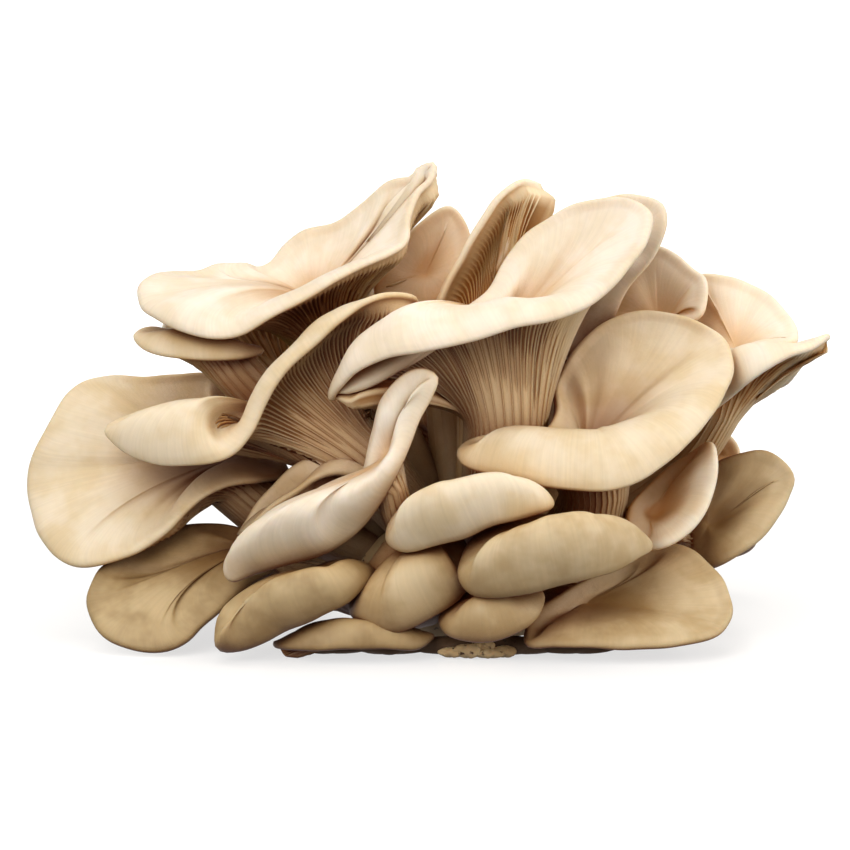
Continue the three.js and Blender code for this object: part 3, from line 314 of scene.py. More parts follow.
            [26, -42, 3.6, 1.5], [33, -45, 3.6, 2], [42, -46, 3.6, 2], [52, -46, 3.6, 2], [61, -45, 3.8, 2],
            [69, -42, 5, 1.5], [75, -37, 7.7, 1], [77.3, -30, 12.5, 0.5], [76, -24, 18, 0.5],
            [73, -19, 22.5, 1], [68, -15, 26.5, 1], [61, -13, 28.5, 1], [53, -15, 27, 1], [45, -20, 22, 1],
            [36, -26, 17, 1], [28, -32, 12, 1], [25, -37, 7.5, 1],
        ],
    },
    {
        "name": "mushroom_right_fold", "gills": 12, "facing": [0.5, -0.6, 0.6], "steep": 0.2,
        "throat": [57, -14, 36], "stem": [[50, -4, 30], [40, 5, 23], [28, 10, 15]],
        "radius": [5, 5], "gill_end": 6,
        "rim": [
            [73.3, -14, 54, 1], [74, -18, 50, 1.5], [73, -21, 43, 2], [70.5, -24, 37, 2],
            [66, -26, 31.5, 2], [60, -27, 28, 2], [55, -25, 27.5, 1.5], [52, -20, 31, 1], [52, -14, 37, 1],
            [57, -10, 43, 0.5], [64, -8, 49, 0.5], [70, -9, 53, 0.5],
        ],
    },
    {
        "name": "mushroom_right_low", "gills": 12, "facing": [0.4, -0.65, 0.6], "steep": 0.2,
        "throat": [73, 0, 33], "stem": [[62, 8, 27], [48, 15, 20], [32, 16, 13]],
        "radius": [5, 5], "gill_end": 6,
        "rim": [
            [75, 6, 48, 0.5], [82, 3, 51.5, 0.5], [88, 2, 52, 0.5], [92.5, 1, 49.3, 0.8], [95, -1, 45, 1],
            [93.5, -3, 40.5, 1], [90.5, -6, 35.8, 1.5], [87, -9, 31, 1.5], [82, -11, 26.5, 1.5],
            [76, -10, 23, 1.5], [71, -6, 21.5, 1], [67, 0, 23, 1], [66, 5, 30, 1], [69, 8, 40, 1],
        ],
    },
    {
        "name": "mushroom_right_small", "gills": 8, "facing": [0.3, -0.6, 0.7], "steep": 0.2,
        "throat": [76, 20, 51], "stem": [[68, 25, 42], [52, 24, 32], [34, 20, 22]],
        "radius": [3.5, 4], "gill_end": 4,
        "rim": [
            [77, 20, 57.8, 0.5], [81, 20, 54.8, 0.5], [82.6, 19, 50, 0.5], [79, 16, 46, 0.5],
            [72, 16, 46.5, 0.5], [69.5, 20, 51, 0.5], [72, 22, 57, 0.5],
        ],
    },
    {
        "name": "mushroom_right_point", "gills": 12, "facing": [0.1, 0.35, 0.9], "steep": 0.2,
        "throat": [79, 8, 67], "stem": [[75, 8, 58], [66, 12, 46], [50, 16, 34], [32, 16, 22]],
        "radius": [4.5, 5], "gill_end": 7,
        "rim": [
            [104, 4, 82, 0.5], [99.5, -2, 79, 3], [94, -5, 76.7, 5], [88.5, -6, 73.2, 7],
            [83.5, -5, 69.7, 8.5], [79, -2, 66.3, 9], [74, 2, 63, 7], [71.5, 8, 62, 3], [74, 14, 61.5, 3],
            [80, 18, 63, 3], [85, 19, 65, 3], [90, 19, 68, 2.5], [94.7, 16, 70, 2], [98.3, 11, 75, 1],
            [101.5, 8, 79, 0.5],
        ],
    },
    {
        "name": "mushroom_right_high", "gills": 12, "facing": [0.2, -0.5, 0.85], "steep": 0.3,
        "throat": [81, 17, 79], "stem": [[75, 24, 67], [64, 30, 56], [48, 30, 43], [30, 24, 30]],
        "radius": [5, 5], "gill_end": 8,
        "rim": [
            [72, 30, 97.8, 0.5], [80, 28, 97.5, 0.5], [86.5, 27, 95.2, 0.5], [91.5, 24, 91.7, 0.5],
            [95.3, 20, 87, 0.5], [97, 15, 82, 1], [96, 11, 80, 1], [90, 9, 78.5, 1.5], [83, 9, 76.5, 1.5],
            [75, 14, 75, 1], [70, 23, 80, 0.5], [70, 29, 90, 0.5],
        ],
    },
    {
        "name": "mushroom_right_shoulder", "gills": 10, "facing": [0.2, -0.5, 0.85], "steep": 0.3,
        "throat": [61, 18.5, 85.5], "stem": [[56, 23, 72], [48, 23, 57], [34, 22, 42], [20, 18, 28]],
        "radius": [5, 5], "gill_end": 8,
        "rim": [
            [55, 24, 103, 0.5], [60.5, 24, 105.5, 0.5], [66, 23, 103, 0.5], [70, 21, 99.5, 0.5],
            [73, 18, 96.5, 0.5], [73, 15, 90, 1], [71.5, 13.5, 87, 1.5], [66, 13.5, 85, 1.5],
            [58, 15, 83, 1.5], [50, 18, 82, 1], [46, 20.5, 88, 0.5], [50, 22, 97, 0.5],
        ],
    },
    {
        "name": "mushroom_crown_back", "gills": 14, "facing": [0.3, -0.75, 0.55], "steep": 0.1,
        "throat": [35, 13, 86], "stem": [[31, 15, 70], [27, 16, 50], [20, 13, 30]],
        "radius": [5.5, 6], "gill_end": 10,
        "rim": [
            [27, 6, 74, 1], [34, 8, 75, 1.5], [42.5, 10, 79, 1.5], [48, 10, 85.5, 1.5], [52.5, 9, 94, 1.5],
            [57, 8, 99.5, 1], [60, 9, 104.5, 1], [62.3, 11, 111, 0.5], [61, 14, 116, 0.5],
            [54, 17, 118.5, 0.5], [46, 18, 117.5, 0.5], [38, 18, 113, 0.5], [30, 17, 104, 0.5],
            [25, 13, 92, 1], [24, 8, 80, 1],
        ],
    },
    {
        "name": "mushroom_top_back", "gills": 10, "facing": [0, -0.5, 0.85], "steep": 0.2,
        "throat": [27, 32, 96], "stem": [[25, 33, 78], [22, 31, 54], [18, 23.5, 32]],
        "radius": [5, 5.5], "gill_end": 8,
        "rim": [
            [16, 34, 108, 0.5], [22, 37, 112.4, 0.5], [28, 38, 113.4, 0.5], [35, 37, 112.5, 0.5],
            [40, 34, 106.5, 0.5], [40, 31.5, 99, 1], [33, 30.5, 95.5, 1.5], [25, 28.5, 93.5, 1.5],
            [17, 29, 96, 1], [14, 32, 102, 0.5],
        ],
    },
    {
        "name": "mushroom_top_small", "gills": 10, "facing": [0, -0.6, 0.7], "steep": 0.2,
        "throat": [0, 20, 98], "stem": [[3, 23, 80], [6, 22, 56], [8, 17, 34]],
        "radius": [4.5, 5.5], "gill_end": 8,
        "rim": [
            [-13, 16, 93, 2], [-12, 17, 99.5, 2], [-7, 19, 105, 1], [-3, 20, 109.5, 0.5], [2, 22, 114, 0.5],
            [7, 24, 115.5, 0.5], [11, 26, 110, 0.5], [11, 25, 100, 1], [6, 20, 92, 1.5], [-3, 16, 89, 2],
        ],
    },
    {
        "name": "mushroom_back_left_high", "gills": 14, "facing": [-0.3, 0.5, 0.8], "steep": 0.4,
        "throat": [-42, 51, 75], "stem": [[-34, 46, 64], [-20, 36, 50], [-4, 27, 34]],
        "radius": [7, 6], "gill_end": 10,
        "rim": [
            [-70, 48, 85, 2], [-66, 37, 88, 1], [-52, 32, 90, 1], [-38, 34, 92, 1], [-26, 41, 90, 1],
            [-20, 52, 84, 2], [-24, 64, 77, 4], [-36, 72, 73, 5], [-50, 72, 73, 5], [-63, 62, 77, 4],
        ],
    },
    {
        "name": "mushroom_back_centre_high", "gills": 14, "facing": [0, 0.55, 0.8], "steep": 0.4,
        "throat": [10, 54, 84], "stem": [[10, 45, 72], [10, 35, 54], [8, 25, 36]],
        "radius": [7.5, 6.5], "gill_end": 12,
        "rim": [
            [-16, 56, 92, 2], [-14, 42, 101, 1], [-2, 36, 105, 1], [14, 37, 107, 0.5], [28, 38, 106, 1],
            [36, 46, 100, 1], [40, 58, 92, 3], [32, 70, 84, 5], [18, 77, 80, 6], [2, 77, 80, 6],
            [-11, 69, 84, 4],
        ],
    },
    {
        "name": "mushroom_back_right_high", "gills": 14, "facing": [0.4, 0.5, 0.75], "steep": 0.4,
        "throat": [58, 52, 74], "stem": [[52, 47, 63], [38, 38, 49], [20, 27, 34]],
        "radius": [6.5, 6], "gill_end": 10,
        "rim": [
            [49, 44, 88, 1], [57, 40, 91, 1], [68, 41, 89, 1], [79, 46, 83, 2], [84, 56, 76, 3],
            [78, 67, 70, 5], [67, 74, 67, 5], [55, 73, 69, 5], [48, 65, 74, 4], [46, 53, 82, 2],
        ],
    },
    {
        "name": "mushroom_back_left_low", "gills": 12, "facing": [-0.45, 0.5, 0.75], "steep": 0.3,
        "throat": [-59, 47, 50], "stem": [[-48, 43, 43], [-28, 35, 37], [-8, 25, 29]],
        "radius": [6, 6], "gill_end": 8,
        "rim": [
            [-88, 44, 54, 3], [-85, 33, 60, 2], [-74, 29, 64, 1], [-60, 30, 64, 1], [-48, 34, 58, 1],
            [-42, 44, 50, 2], [-44, 58, 44, 4], [-56, 68, 41, 5], [-71, 67, 42, 6], [-83, 57, 47, 5],
        ],
    },
    {
        "name": "mushroom_back_right_low", "gills": 12, "facing": [0.5, 0.5, 0.7], "steep": 0.3,
        "throat": [58, 45, 31], "stem": [[48, 39, 26], [32, 29, 22], [20, 20, 20]],
        "radius": [6, 6], "gill_end": 7,
        "rim": [
            [50, 34, 34, 1], [62, 27, 36, 1], [76, 28, 35, 1], [87, 35, 30, 2], [88, 48, 25, 3],
            [79, 60, 22, 5], [66, 66, 21, 6], [54, 63, 22, 5], [47, 54, 26, 3], [46, 43, 31, 2],
        ],
    },
    {
        "name": "mushroom_back_centre_low", "gills": 14, "facing": [0, 0.65, 0.75], "steep": 0.3,
        "throat": [8, 63, 52], "stem": [[8, 52, 44], [9, 38, 33], [9, 26, 24]],
        "radius": [6.5, 6.5], "gill_end": 8,
        "rim": [
            [-32, 62, 50, 2], [-26, 52, 58, 1], [-10, 49, 63, 0.5], [8, 51, 64, 0.5], [26, 50, 61, 1],
            [38, 56, 54, 1], [41, 67, 46, 3], [32, 79, 39, 5], [16, 85, 35, 7], [-2, 86, 35, 7],
            [-19, 81, 37, 6], [-30, 73, 43, 4],
        ],
    },
    {
        "name": "mushroom_back_left_floor", "gills": 12, "facing": [-0.3, 0.6, 0.75], "steep": 0.3,
        "throat": [-38, 46, 21], "stem": [[-28, 38, 20], [-14, 28, 18], [-2, 20, 16]],
        "radius": [5.5, 5.5], "gill_end": 6,
        "rim": [
            [-72, 42, 20, 2], [-66, 30, 24, 1], [-52, 25, 26, 1], [-38, 30, 26, 1], [-28, 42, 25, 1],
            [-24, 56, 22, 3], [-32, 68, 19, 5], [-46, 73, 17.5, 6], [-60, 68, 17.5, 6], [-70, 56, 18, 5],
        ],
    },
]


def unit(v):
    return v / np.linalg.norm(v, axis=-1, keepdims=True)


def dot(a, b):
    return np.sum(a * b, axis=-1, keepdims=True)


def place(points):
    """The real places of points that are given as seen from the front."""
    seen = np.asarray(points, float)
    real = seen[..., :3].copy()
    real[..., 2] = (seen[..., 2] - (seen[..., 1] - FRONT_LINE) * SEEN_SIN) / SEEN_COS
    return real


def smooth_line(points, closed, per_span=16):
    """A dense centripetal curve through the points, and the length along it at each of its own points."""
    p = np.asarray(points, float)
    if closed:
        p = np.vstack([p[-1:], p, p[:2]])
    else:
        p = np.vstack([2 * p[0] - p[1], p, 2 * p[-1] - p[-2]])
    spans = len(p) - 3
    four = [p[k : k + spans] for k in range(4)]
    knots = [np.zeros(spans)]
    for k in range(3):
        knots.append(knots[-1] + np.sqrt(np.linalg.norm((four[k + 1] - four[k])[:, :3], axis=1)))
    share = np.arange(per_span)[:, None] / per_span
    now = knots[1] + (knots[2] - knots[1]) * share

    def mix(a, b, ta, tb):
        return ((tb - now)[..., None] * a + (now - ta)[..., None] * b) / (tb - ta)[:, None]

    once = [mix(four[q], four[q + 1], knots[q], knots[q + 1]) for q in range(3)]
    twice = [mix(once[q], once[q + 1], knots[q], knots[q + 2]) for q in range(2)]
    dense = mix(twice[0], twice[1], knots[1], knots[2]).transpose(1, 0, 2).reshape(-1, p.shape[1])
    dense = np.vstack([dense, dense[:1] if closed else p[-2:-1]])
    steps = np.linalg.norm(np.diff(dense[:, :3], axis=0), axis=1)
    return dense, np.concatenate([[0], np.cumsum(steps)])


def sample(dense, along, at):
    return np.stack([np.interp(at, along, dense[:, q]) for q in range(dense.shape[1])], -1)


def hermite(a, leave, b, meet, t):
    """A point on the curve that leaves a along leave and reaches b along meet."""
    t2, t3 = t * t, t * t * t
    return a * (2 * t3 - 3 * t2 + 1) + leave * (t3 - 2 * t2 + t) + b * (3 * t2 - 2 * t3) + meet * (t3 - t2)


def smoothstep(x, low, high):
    t = np.clip((x - low) / (high - low), 0, 1)
    return t * t * (3 - 2 * t)


def eased(values, reach):
    """The mean of each value and its neighbours round a closed ring."""
    return sum(np.roll(values, q) for q in range(-reach, reach + 1)) / (2 * reach + 1)


def mean_turn(turns):
    return math.atan2(np.sin(turns).sum(), np.cos(turns).sum())


class Stem:
    """The stem's centre line with a frame carried down it without twist."""

    STEPS = 24

    def __init__(self, m):
        dense, along = smooth_line(place([m["throat"], *m["stem"]]), closed=False)
        self.length = along[-1]
        self.gill_end = m["gill_end"]
        self.radii = m["radius"]
        self.stops = np.linspace(0, self.length, self.STEPS + 1)
        self.centres = sample(dense, along, self.stops)
        self.downs = unit(np.gradient(self.centres, axis=0))
        side = np.array([1, 0.2, 0])
        sides = []
        for down in self.downs:
            side = unit(side - down * (side @ down))
            sides.append(side)
        self.sides = np.array(sides)
        self.others = np.cross(self.sides, self.downs)

    def frame(self, d):
        """Centre, side, other side and down at a distance below the throat."""
        return [sample(v, self.stops, d) for v in (self.centres, self.sides, self.others, self.downs)]

    def radius(self, d):
        share = smoothstep(d, self.gill_end, self.length)
        return self.radii[0] + (self.radii[1] - self.radii[0]) * share

    def ring(self, d, turns, swell=0.0):
        centre, side, other, _ = self.frame(d)
        r = self.radius(d) + swell
        return centre + side * (r * np.cos(turns))[:, None] + other * (r * np.sin(turns))[:, None]


def foot_turns(aways, side, other):
    """The turn round the stem at which each gill ends. Gills keep their order and crowd but little."""
    n = len(aways)
    step = 2 * math.pi / n
    order = step * np.arange(n)
    seen = np.arctan2(aways @ other, aways @ side)
    start = mean_turn(seen - order)
    away = seen - start - order
    drift = eased(eased(np.arctan2(np.sin(away), np.cos(away)), round(n / 10)), 2)
    gaps = np.clip(step + np.roll(drift, -1) - drift, TIGHTEST * step, LOOSEST * step)
    turns = np.concatenate([[0], np.cumsum(gaps)[:-1]]) * 2 * math.pi / gaps.sum()
    return turns + mean_turn(start + order + drift - turns)


class Cap:
    """The rim of a cap and all that follows from it, at any share of the way round."""

    CONTROL = 120  # points round the rim at which the width of the margin is worked out
    REACH = 6

    def __init__(self, m):
        self.m = m
        self.throat = place(m["throat"])
        self.facing = unit(np.array(m["facing"], float))
        self.line, self.along = smooth_line(m["rim"], closed=True)
        self.length = self.along[-1]
        self.sense = 1
        ring = self.rim(np.arange(64) / 64)[0] - self.throat
        if np.cross(ring, np.roll(ring, -1, axis=0)).sum(0) @ self.facing < 0:
            self.sense = -1
        self.stem = Stem(m)
        _, side, other, down = self.stem.frame(self.stem.gill_end)
        self.foot_down = down
        columns = np.arange(2 * m["gills"]) / (2 * m["gills"])
        turns = foot_turns(self.rim(columns)[0] - self.throat, side, other)
        self.turn_list = np.append(turns, turns[0] + 2 * math.pi)
        self.inset_list = self.margin_widths()
        self.wave = self.waves(*WAVES)
        self.wander = self.waves(*WANDER)
        self.folds = self.waves(*FOLDS)

    def waves(self, lengths, height):
        """A function of the share round the cap, a sum of a few whole waves of about these lengths."""
        counts = [max(1, round(self.length / length)) for length in lengths]
        phases = rng.uniform(0, 2 * math.pi, len(counts))
        sizes = height * rng.uniform(0.4, 1, len(counts)) / math.sqrt(len(counts))

        def value(shares):
            whole_turns = 2 * math.pi * shares
            return sum(s * np.cos(c * whole_turns + p) for s, c, p in zip(sizes, counts, phases))

        return value

    def rim(self, shares):
        found = sample(self.line, self.along, (self.sense * shares % 1) * self.length)
        return place(found), found[:, 3]

    def edge_frame(self, shares, step=0.004):
        at, drop = self.rim(shares)
        run = unit(self.rim(shares + step)[0] - self.rim(shares - step)[0])
        chord = at - self.throat
        out = unit(chord - run * dot(run, chord))
        return at, drop, run, out

    def margin_widths(self):
        at, drop, _, out = self.edge_frame(np.arange(self.CONTROL) / self.CONTROL)
        apart = at[:, None] - at[None]
        inward = np.einsum("kqi,ki->kq", apart, out)
        room = np.where(inward > 0.01, (apart**2).sum(-1) / (2 * np.maximum(inward, 0.01)), np.inf).min(1)
        widths = np.minimum(MARGIN + ROLL_REACH * drop, 0.5 * np.linalg.norm(at - self.throat, axis=1))
        widths = eased(np.minimum(widths, LOBE_SHARE * room), self.REACH)
        return np.append(widths, widths[0])

    def turn(self, shares):
        n = len(self.turn_list) - 1
        whole = np.floor(shares)
        return np.interp((shares - whole) * n, np.arange(n + 1), self.turn_list) + 2 * math.pi * whole

    def shape(self, shares):
        """Every guide of the surface at these shares of the way round."""
        m = self.m
        at, drop, run, out = self.edge_frame(shares)
        inset = np.interp(shares % 1 * self.CONTROL, np.arange(self.CONTROL + 1), self.inset_list)[:, None]
        over = unit(np.cross(out, run))
        at = at + over * self.wave(shares)[:, None] + out * self.wander(shares)[:, None]
        chord = at - self.throat
        reach = np.linalg.norm(chord, axis=1, keepdims=True)
        shoulder = at - out * inset + over * drop[:, None]
        inner = shoulder - self.throat
        span = np.linalg.norm(inner, axis=1, keepdims=True)
        level = unit(chord - self.facing * dot(chord, self.facing))
        leave = unit(level * (1 - m["steep"]) + self.facing * m["steep"]) * span
        last = unit(at - shoulder)
        bend = unit(unit(inner) + last)
        end = unit(2 * last - bend)
        rim_up = unit(np.cross(end, run))
        bend_up = unit(np.cross(bend, run))
        under = shoulder - bend_up * (FLESH + THICKENING * reach)
        half = EDGE_HALF * EDGE
        middle = at - rim_up * EDGE_SINK * EDGE - end * half * EDGE_SET_BACK
        return {
            "throat": self.throat,
            "shoulder": shoulder,
            "span": span,
            "leave": leave,
            "bend": bend,
            "end": end,
            "rim_up": rim_up,
            "under": under,
            "half": half,
            "middle": middle,
        }

    def top_rows(self, shares, inner_rows, margin_rows, round_rows):
        """Rings from the throat over the shoulder to the lower side of the edge, and two masks for each."""
        g = self.shape(shares)
        rows, inner, margin = [], [], []
        for t in (np.arange(inner_rows) + 1) / inner_rows:
            rows.append(hermite(g["throat"], g["leave"], g["shoulder"], g["bend"] * g["span"], t))
            inner.append(1 - t)
            margin.append(0.0)
        lip = g["middle"] + g["rim_up"] * g["half"]
        width = np.linalg.norm(lip - g["shoulder"], axis=1, keepdims=True)
        for t in (np.arange(margin_rows) + 1) / (margin_rows + 1):
            rows.append(hermite(g["shoulder"], g["bend"] * width, lip, g["end"] * width, t))
            inner.append(0.0)
            margin.append(0.7 * t)
        for turn in np.linspace(0, math.pi, round_rows):
            rows.append(g["middle"] + g["half"] * (g["rim_up"] * math.cos(turn) + g["end"] * math.sin(turn)))
            inner.append(0.0)
            margin.append(1.0)
        rows = np.array(rows)
        share_out = 1 - np.array(inner)
        share_out[inner_rows:] = np.linspace(1, 0, len(rows) - inner_rows)
        lift = smoothstep(share_out, 0.15, 0.8)[:, None] * self.folds(shares)[None]
        rows += grid_normals(rows) * lift[..., None]
        return rows, np.array(inner), np.array(margin)

    def under_rows(self, shares, margin_rows, gill_rows):
        """Rings from the edge in to the foot of the gills, and how far in each is, from 0 to 1."""
        g = self.shape(shares)
        below = g["middle"] - g["rim_up"] * g["half"]
        width = np.linalg.norm(g["under"] - below, axis=1, keepdims=True)
        rows, way = [], []
        for t in (np.arange(margin_rows) + 0.6) / margin_rows:
            rows.append(hermite(below, -g["end"] * width, g["under"], -g["bend"] * width, t))
            way.append(0.0)
        foot = self.stem.ring(self.stem.gill_end, self.turn(shares))
        rise = np.linalg.norm(g["under"] - foot, axis=1, keepdims=True)
        leave = -self.foot_down * rise * min(1, FOOT_PULL + self.m["steep"])
        for t in 1 - (np.arange(gill_rows) + 1) / gill_rows:
            rows.append(hermite(foot, leave, g["under"], g["bend"] * rise * RIM_PULL, t))
            way.append(1 - t)
        return np.array(rows), np.array(way)


def grid_normals(rows):
    """The outward normal at each point of a closed grid of rings."""
    down = np.gradient(rows, axis=0)
    around = np.roll(rows, -1, axis=1) - np.roll(rows, 1, axis=1)
    return unit(np.cross(down, around))


CLEAR_OF_TABLE = 0.15  # no flesh dips under this height


class Skin:
    """Points, faces and masks of one mesh, added ring by ring."""

    MASKS = ("inner", "margin", "under", "gill", "root", "around", "away")

    def __init__(self):
        self.points = []
        self.faces = []
        self.masks = {name: [] for name in self.MASKS}
        self.count = 0

    def add(self, rows, **masks):
        """Adds a grid of rings and returns the numbers of its points."""
        rows = np.asarray(rows, float)
        numbers = self.count + np.arange(rows[..., 0].size).reshape(rows.shape[:-1])
        self.points.append(rows.reshape(-1, 3))
        self.count += numbers.size
        for name in self.MASKS:
            self.masks[name].append(np.broadcast_to(masks.get(name, 0.0), rows.shape[:-1]).ravel())
        return numbers

    def sheet(self, n):
        """Four-sided faces between the rings of a grid."""
        a, b = n[:-1], n[1:]
        quads = np.stack([a, b, np.roll(b, -1, axis=1), np.roll(a, -1, axis=1)], -1)
        self.faces.extend(quads.reshape(-1, 4).tolist())

    def fan(self, tip, ring, inward):
        """Three-sided faces between a single point and a ring."""
        for k in range(len(ring)):
            a, b = int(ring[k]), int(ring[(k + 1) % len(ring)])
            self.faces.append((a, int(tip), b) if inward else (int(tip), a, b))

    def zip(self, inner, inner_shares, outer, outer_shares):
        """Three-sided faces between two rings with different numbers of points."""
        i = j = 0
        n, m = len(inner), len(outer)
        while i < n or j < m:
            a, b = int(inner[i % n]), int(outer[j % m])
            next_inner = inner_shares[i + 1] if i + 1 < n else inner_shares[0] + 1
            next_outer = outer_shares[j + 1] if j + 1 < m else outer_shares[0] + 1
            if j == m or (i < n and next_inner <= next_outer):
                self.faces.append((a, b, int(inner[(i + 1) % n])))
                i += 1
            else:
                self.faces.append((a, b, int(outer[(j + 1) % m])))
                j += 1

    def to_object(self, name, material):
        mesh = bpy.data.meshes.new(name)
        points = (np.vstack(self.points) + to_frame) * MM
        points[:, 2] = np.maximum(points[:, 2], CLEAR_OF_TABLE * MM)
        mesh.from_pydata(points.tolist(), [], self.faces)
        for mask, values in self.masks.items():
            layer = mesh.attributes.new(mask, "FLOAT", "POINT")
            layer.data.foreach_set("value", np.concatenate(values).astype(np.float32))
        mesh.shade_smooth()
        mesh.materials.append(material)
        piece = bpy.data.objects.new(name, mesh)
        bpy.context.scene.collection.objects.link(piece)
        return piece


def grow(m):
    """One mushroom: the cap's skin, the gills and the stem as one closed mesh."""
    cap = Cap(m)
    skin = Skin()
    coarse = 1

    # The skin of the cap, from the throat to the lower side of its edge
    count = int(cap.length / SKIN_STEP / coarse)
    shares = np.arange(count) / count
    rows, inner, margin = cap.top_rows(shares, SKIN_ROWS // coarse, MARGIN_ROWS // coarse, EDGE_ROWS)
    mirror = np.abs(2 * shares - 1) * cap.length / 2
    away = np.concatenate([[0], np.cumsum(np.linalg.norm(np.diff(rows, axis=0), axis=-1).mean(1))])
    top = skin.add(
        rows, inner=inner[:, None], margin=margin[:, None], gill=0.5, around=mirror[None], away=away[:, None]
    )
    skin.sheet(top)
    tip = skin.add(cap.throat[None], inner=1.0, gill=0.5)
    skin.fan(tip[0], top[0], inward=False)

    # The gills, in tiers. Each has a line of points for its edge and one on either side, in the valleys.
    pitch = BACK_GILL_PITCH if "_back_" in m["name"] else GILL_PITCH
    gills = 4 * max(6, round(cap.length / pitch / coarse / 4))
    centre = (np.arange(gills) + 0.5 + rng.uniform(-GILL_JITTER, GILL_JITTER, gills)) / gills
    columns = (centre[:, None] + np.array([-GILL_FOOT, 0, GILL_FOOT]) / gills).ravel()
    edge = np.tile([0.0, 1.0, 0.0], gills)
    tiers = np.array(GILL_TIERS * (gills // 4))
    starts = np.repeat(np.where(tiers > 0, tiers + rng.uniform(-GILL_JITTER, GILL_JITTER, gills), 0), 3)
    depths = np.repeat(GILL_DEPTH * rng.uniform(*GILL_HEIGHTS, gills), 3)
    rows, way = cap.under_rows(columns, UNDER_MARGIN_ROWS, GILL_ROWS // coarse)
    reach = np.linalg.norm(np.diff(rows, axis=0), axis=-1).cumsum(0)
    from_edge = np.vstack([np.zeros(len(columns)), reach])
    out_share = 1 - way[:, None]
    rise = smoothstep(from_edge, *GILL_START)
    end = np.where(starts > 0, smoothstep(out_share, starts, starts + TIER_FADE), 1.0)
    height = depths * rise * end * (1 - GILL_SINKING * smoothstep(way[:, None], 0.55, 1.0))

    # The full gills run on down the stem as low ridges that fade out
    stem = cap.stem
    stem_rows = STEM_ROWS // coarse
    drops = stem.gill_end + (stem.length - stem.gill_end) * (np.arange(stem_rows) + 1) / stem_rows
    turns = cap.turn(columns)
    rings = np.array([stem.ring(d, turns) for d in drops])
    fade = 1 - smoothstep((drops - stem.gill_end) / (stem.length - stem.gill_end), 0.0, STEM_FADE)
    ridge = np.where(starts > 0, 0.0, 1.0) * depths * STEM_RIDGE * fade[:, None]
    rows = np.concatenate([rows, rings])
    height = np.concatenate([height, ridge])
    rows = rows + grid_normals(rows) * (height * edge)[..., None]
    root = np.concatenate([np.zeros(len(way)), (np.arange(stem_rows) + 1) / stem_rows])
    mirror = np.abs(2 * (columns % 1) - 1) * cap.length / 2
    away = np.concatenate([[0], np.cumsum(np.linalg.norm(np.diff(rows, axis=0), axis=-1).mean(1))])
    relief = np.clip(height / GILL_DEPTH, 0, 1)
    under = skin.add(
        rows,
        under=1.0,
        gill=0.5 + (edge - 0.5) * relief,
        root=root[:, None],
        around=mirror[None],
        away=away[:, None],
        margin=np.where(np.arange(len(rows)) < 2, 0.8, 0.0)[:, None],
    )
    skin.sheet(under)
    skin.zip(top[-1], shares, under[0], columns)
    tip = skin.add(stem.centres[-1][None], under=1.0, gill=0.5, root=1.0)
    skin.fan(tip[0], under[-1], inward=True)
    return skin


def base_ring(height, share, sides):
    turn = 2 * math.pi * np.arange(sides) / sides
    fold = 1 + BASE_FOLD_DEPTH * np.cos(BASE_FOLDS * turn + height * 0.1)
    return np.stack([
        BASE_CENTRE[0] + BASE_CUT[0] * share * fold * np.cos(turn),
        BASE_CENTRE[1] + BASE_CUT[1] * share * fold * np.sin(turn),
        np.full(sides, float(height)),
    ], -1)


def base_rows(sides):
    return np.array([base_ring(height, share, sides) for height, share in BASE_RINGS])


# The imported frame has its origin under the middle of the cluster, and the base tells where that is.
to_frame = np.array(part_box("base")[0]) / MM - base_rows(BASE_SIDES).reshape(-1, 3).min(0)


def linear(hex_colour):
    """An sRGB hex colour as linear values with full opacity."""
    parts = [int(hex_colour[k : k + 2], 16) / 255 for k in (1, 3, 5)]
    return [v / 12.92 if v <= 0.04045 else ((v + 0.055) / 1.055) ** 2.4 for v in parts] + [1.0]


def add_node(tree, kind, settings=None, output=0, **inputs):
    """Adds a node and returns one of its outputs. Settings are the node's own properties. An input goes by
    its name, with underscores for spaces, or by i and its number, and takes a value or an output."""
    node = tree.nodes.new(kind)
    for key, value in (settings or {}).items():
        setattr(node, key, value)
    for key, value in inputs.items():
        numbered = key[0] == "i" and key[1:].isdigit()
        socket = node.inputs[int(key[1:]) if numbered else key.replace("_", " ")]
        if isinstance(value, bpy.types.NodeSocket):
            tree.links.new(value, socket)
        else:
            socket.default_value = value
    return node.outputs[output] if node.outputs else None


# Settings that several nodes share, and the output of a colour mix
SMOOTH = {"interpolation_type": "SMOOTHSTEP"}
MIXED = {"data_type": "RGBA"}
MULTIPLIED = {"data_type": "RGBA", "blend_type": "MULTIPLY"}
PRODUCT = {"operation": "MULTIPLY"}
SCALED = {"operation": "SCALE"}
COLOUR_OUT = 2


def new_material(name):
    material = bpy.data.materials.new(name)
    material.use_nodes = True
    tree = material.node_tree
    tree.nodes.clear()
    return material, tree


# How far off other flesh may be and still darken a place with painted shade.
SHADE_REACH = 35  # how far off flesh still shuts a place in
FIBRE_WIDTH = 1.0
FIBRE_LENGTH = 14.0
PATCH = 12.0  # size of the patches of tone
GRAIN = 0.8


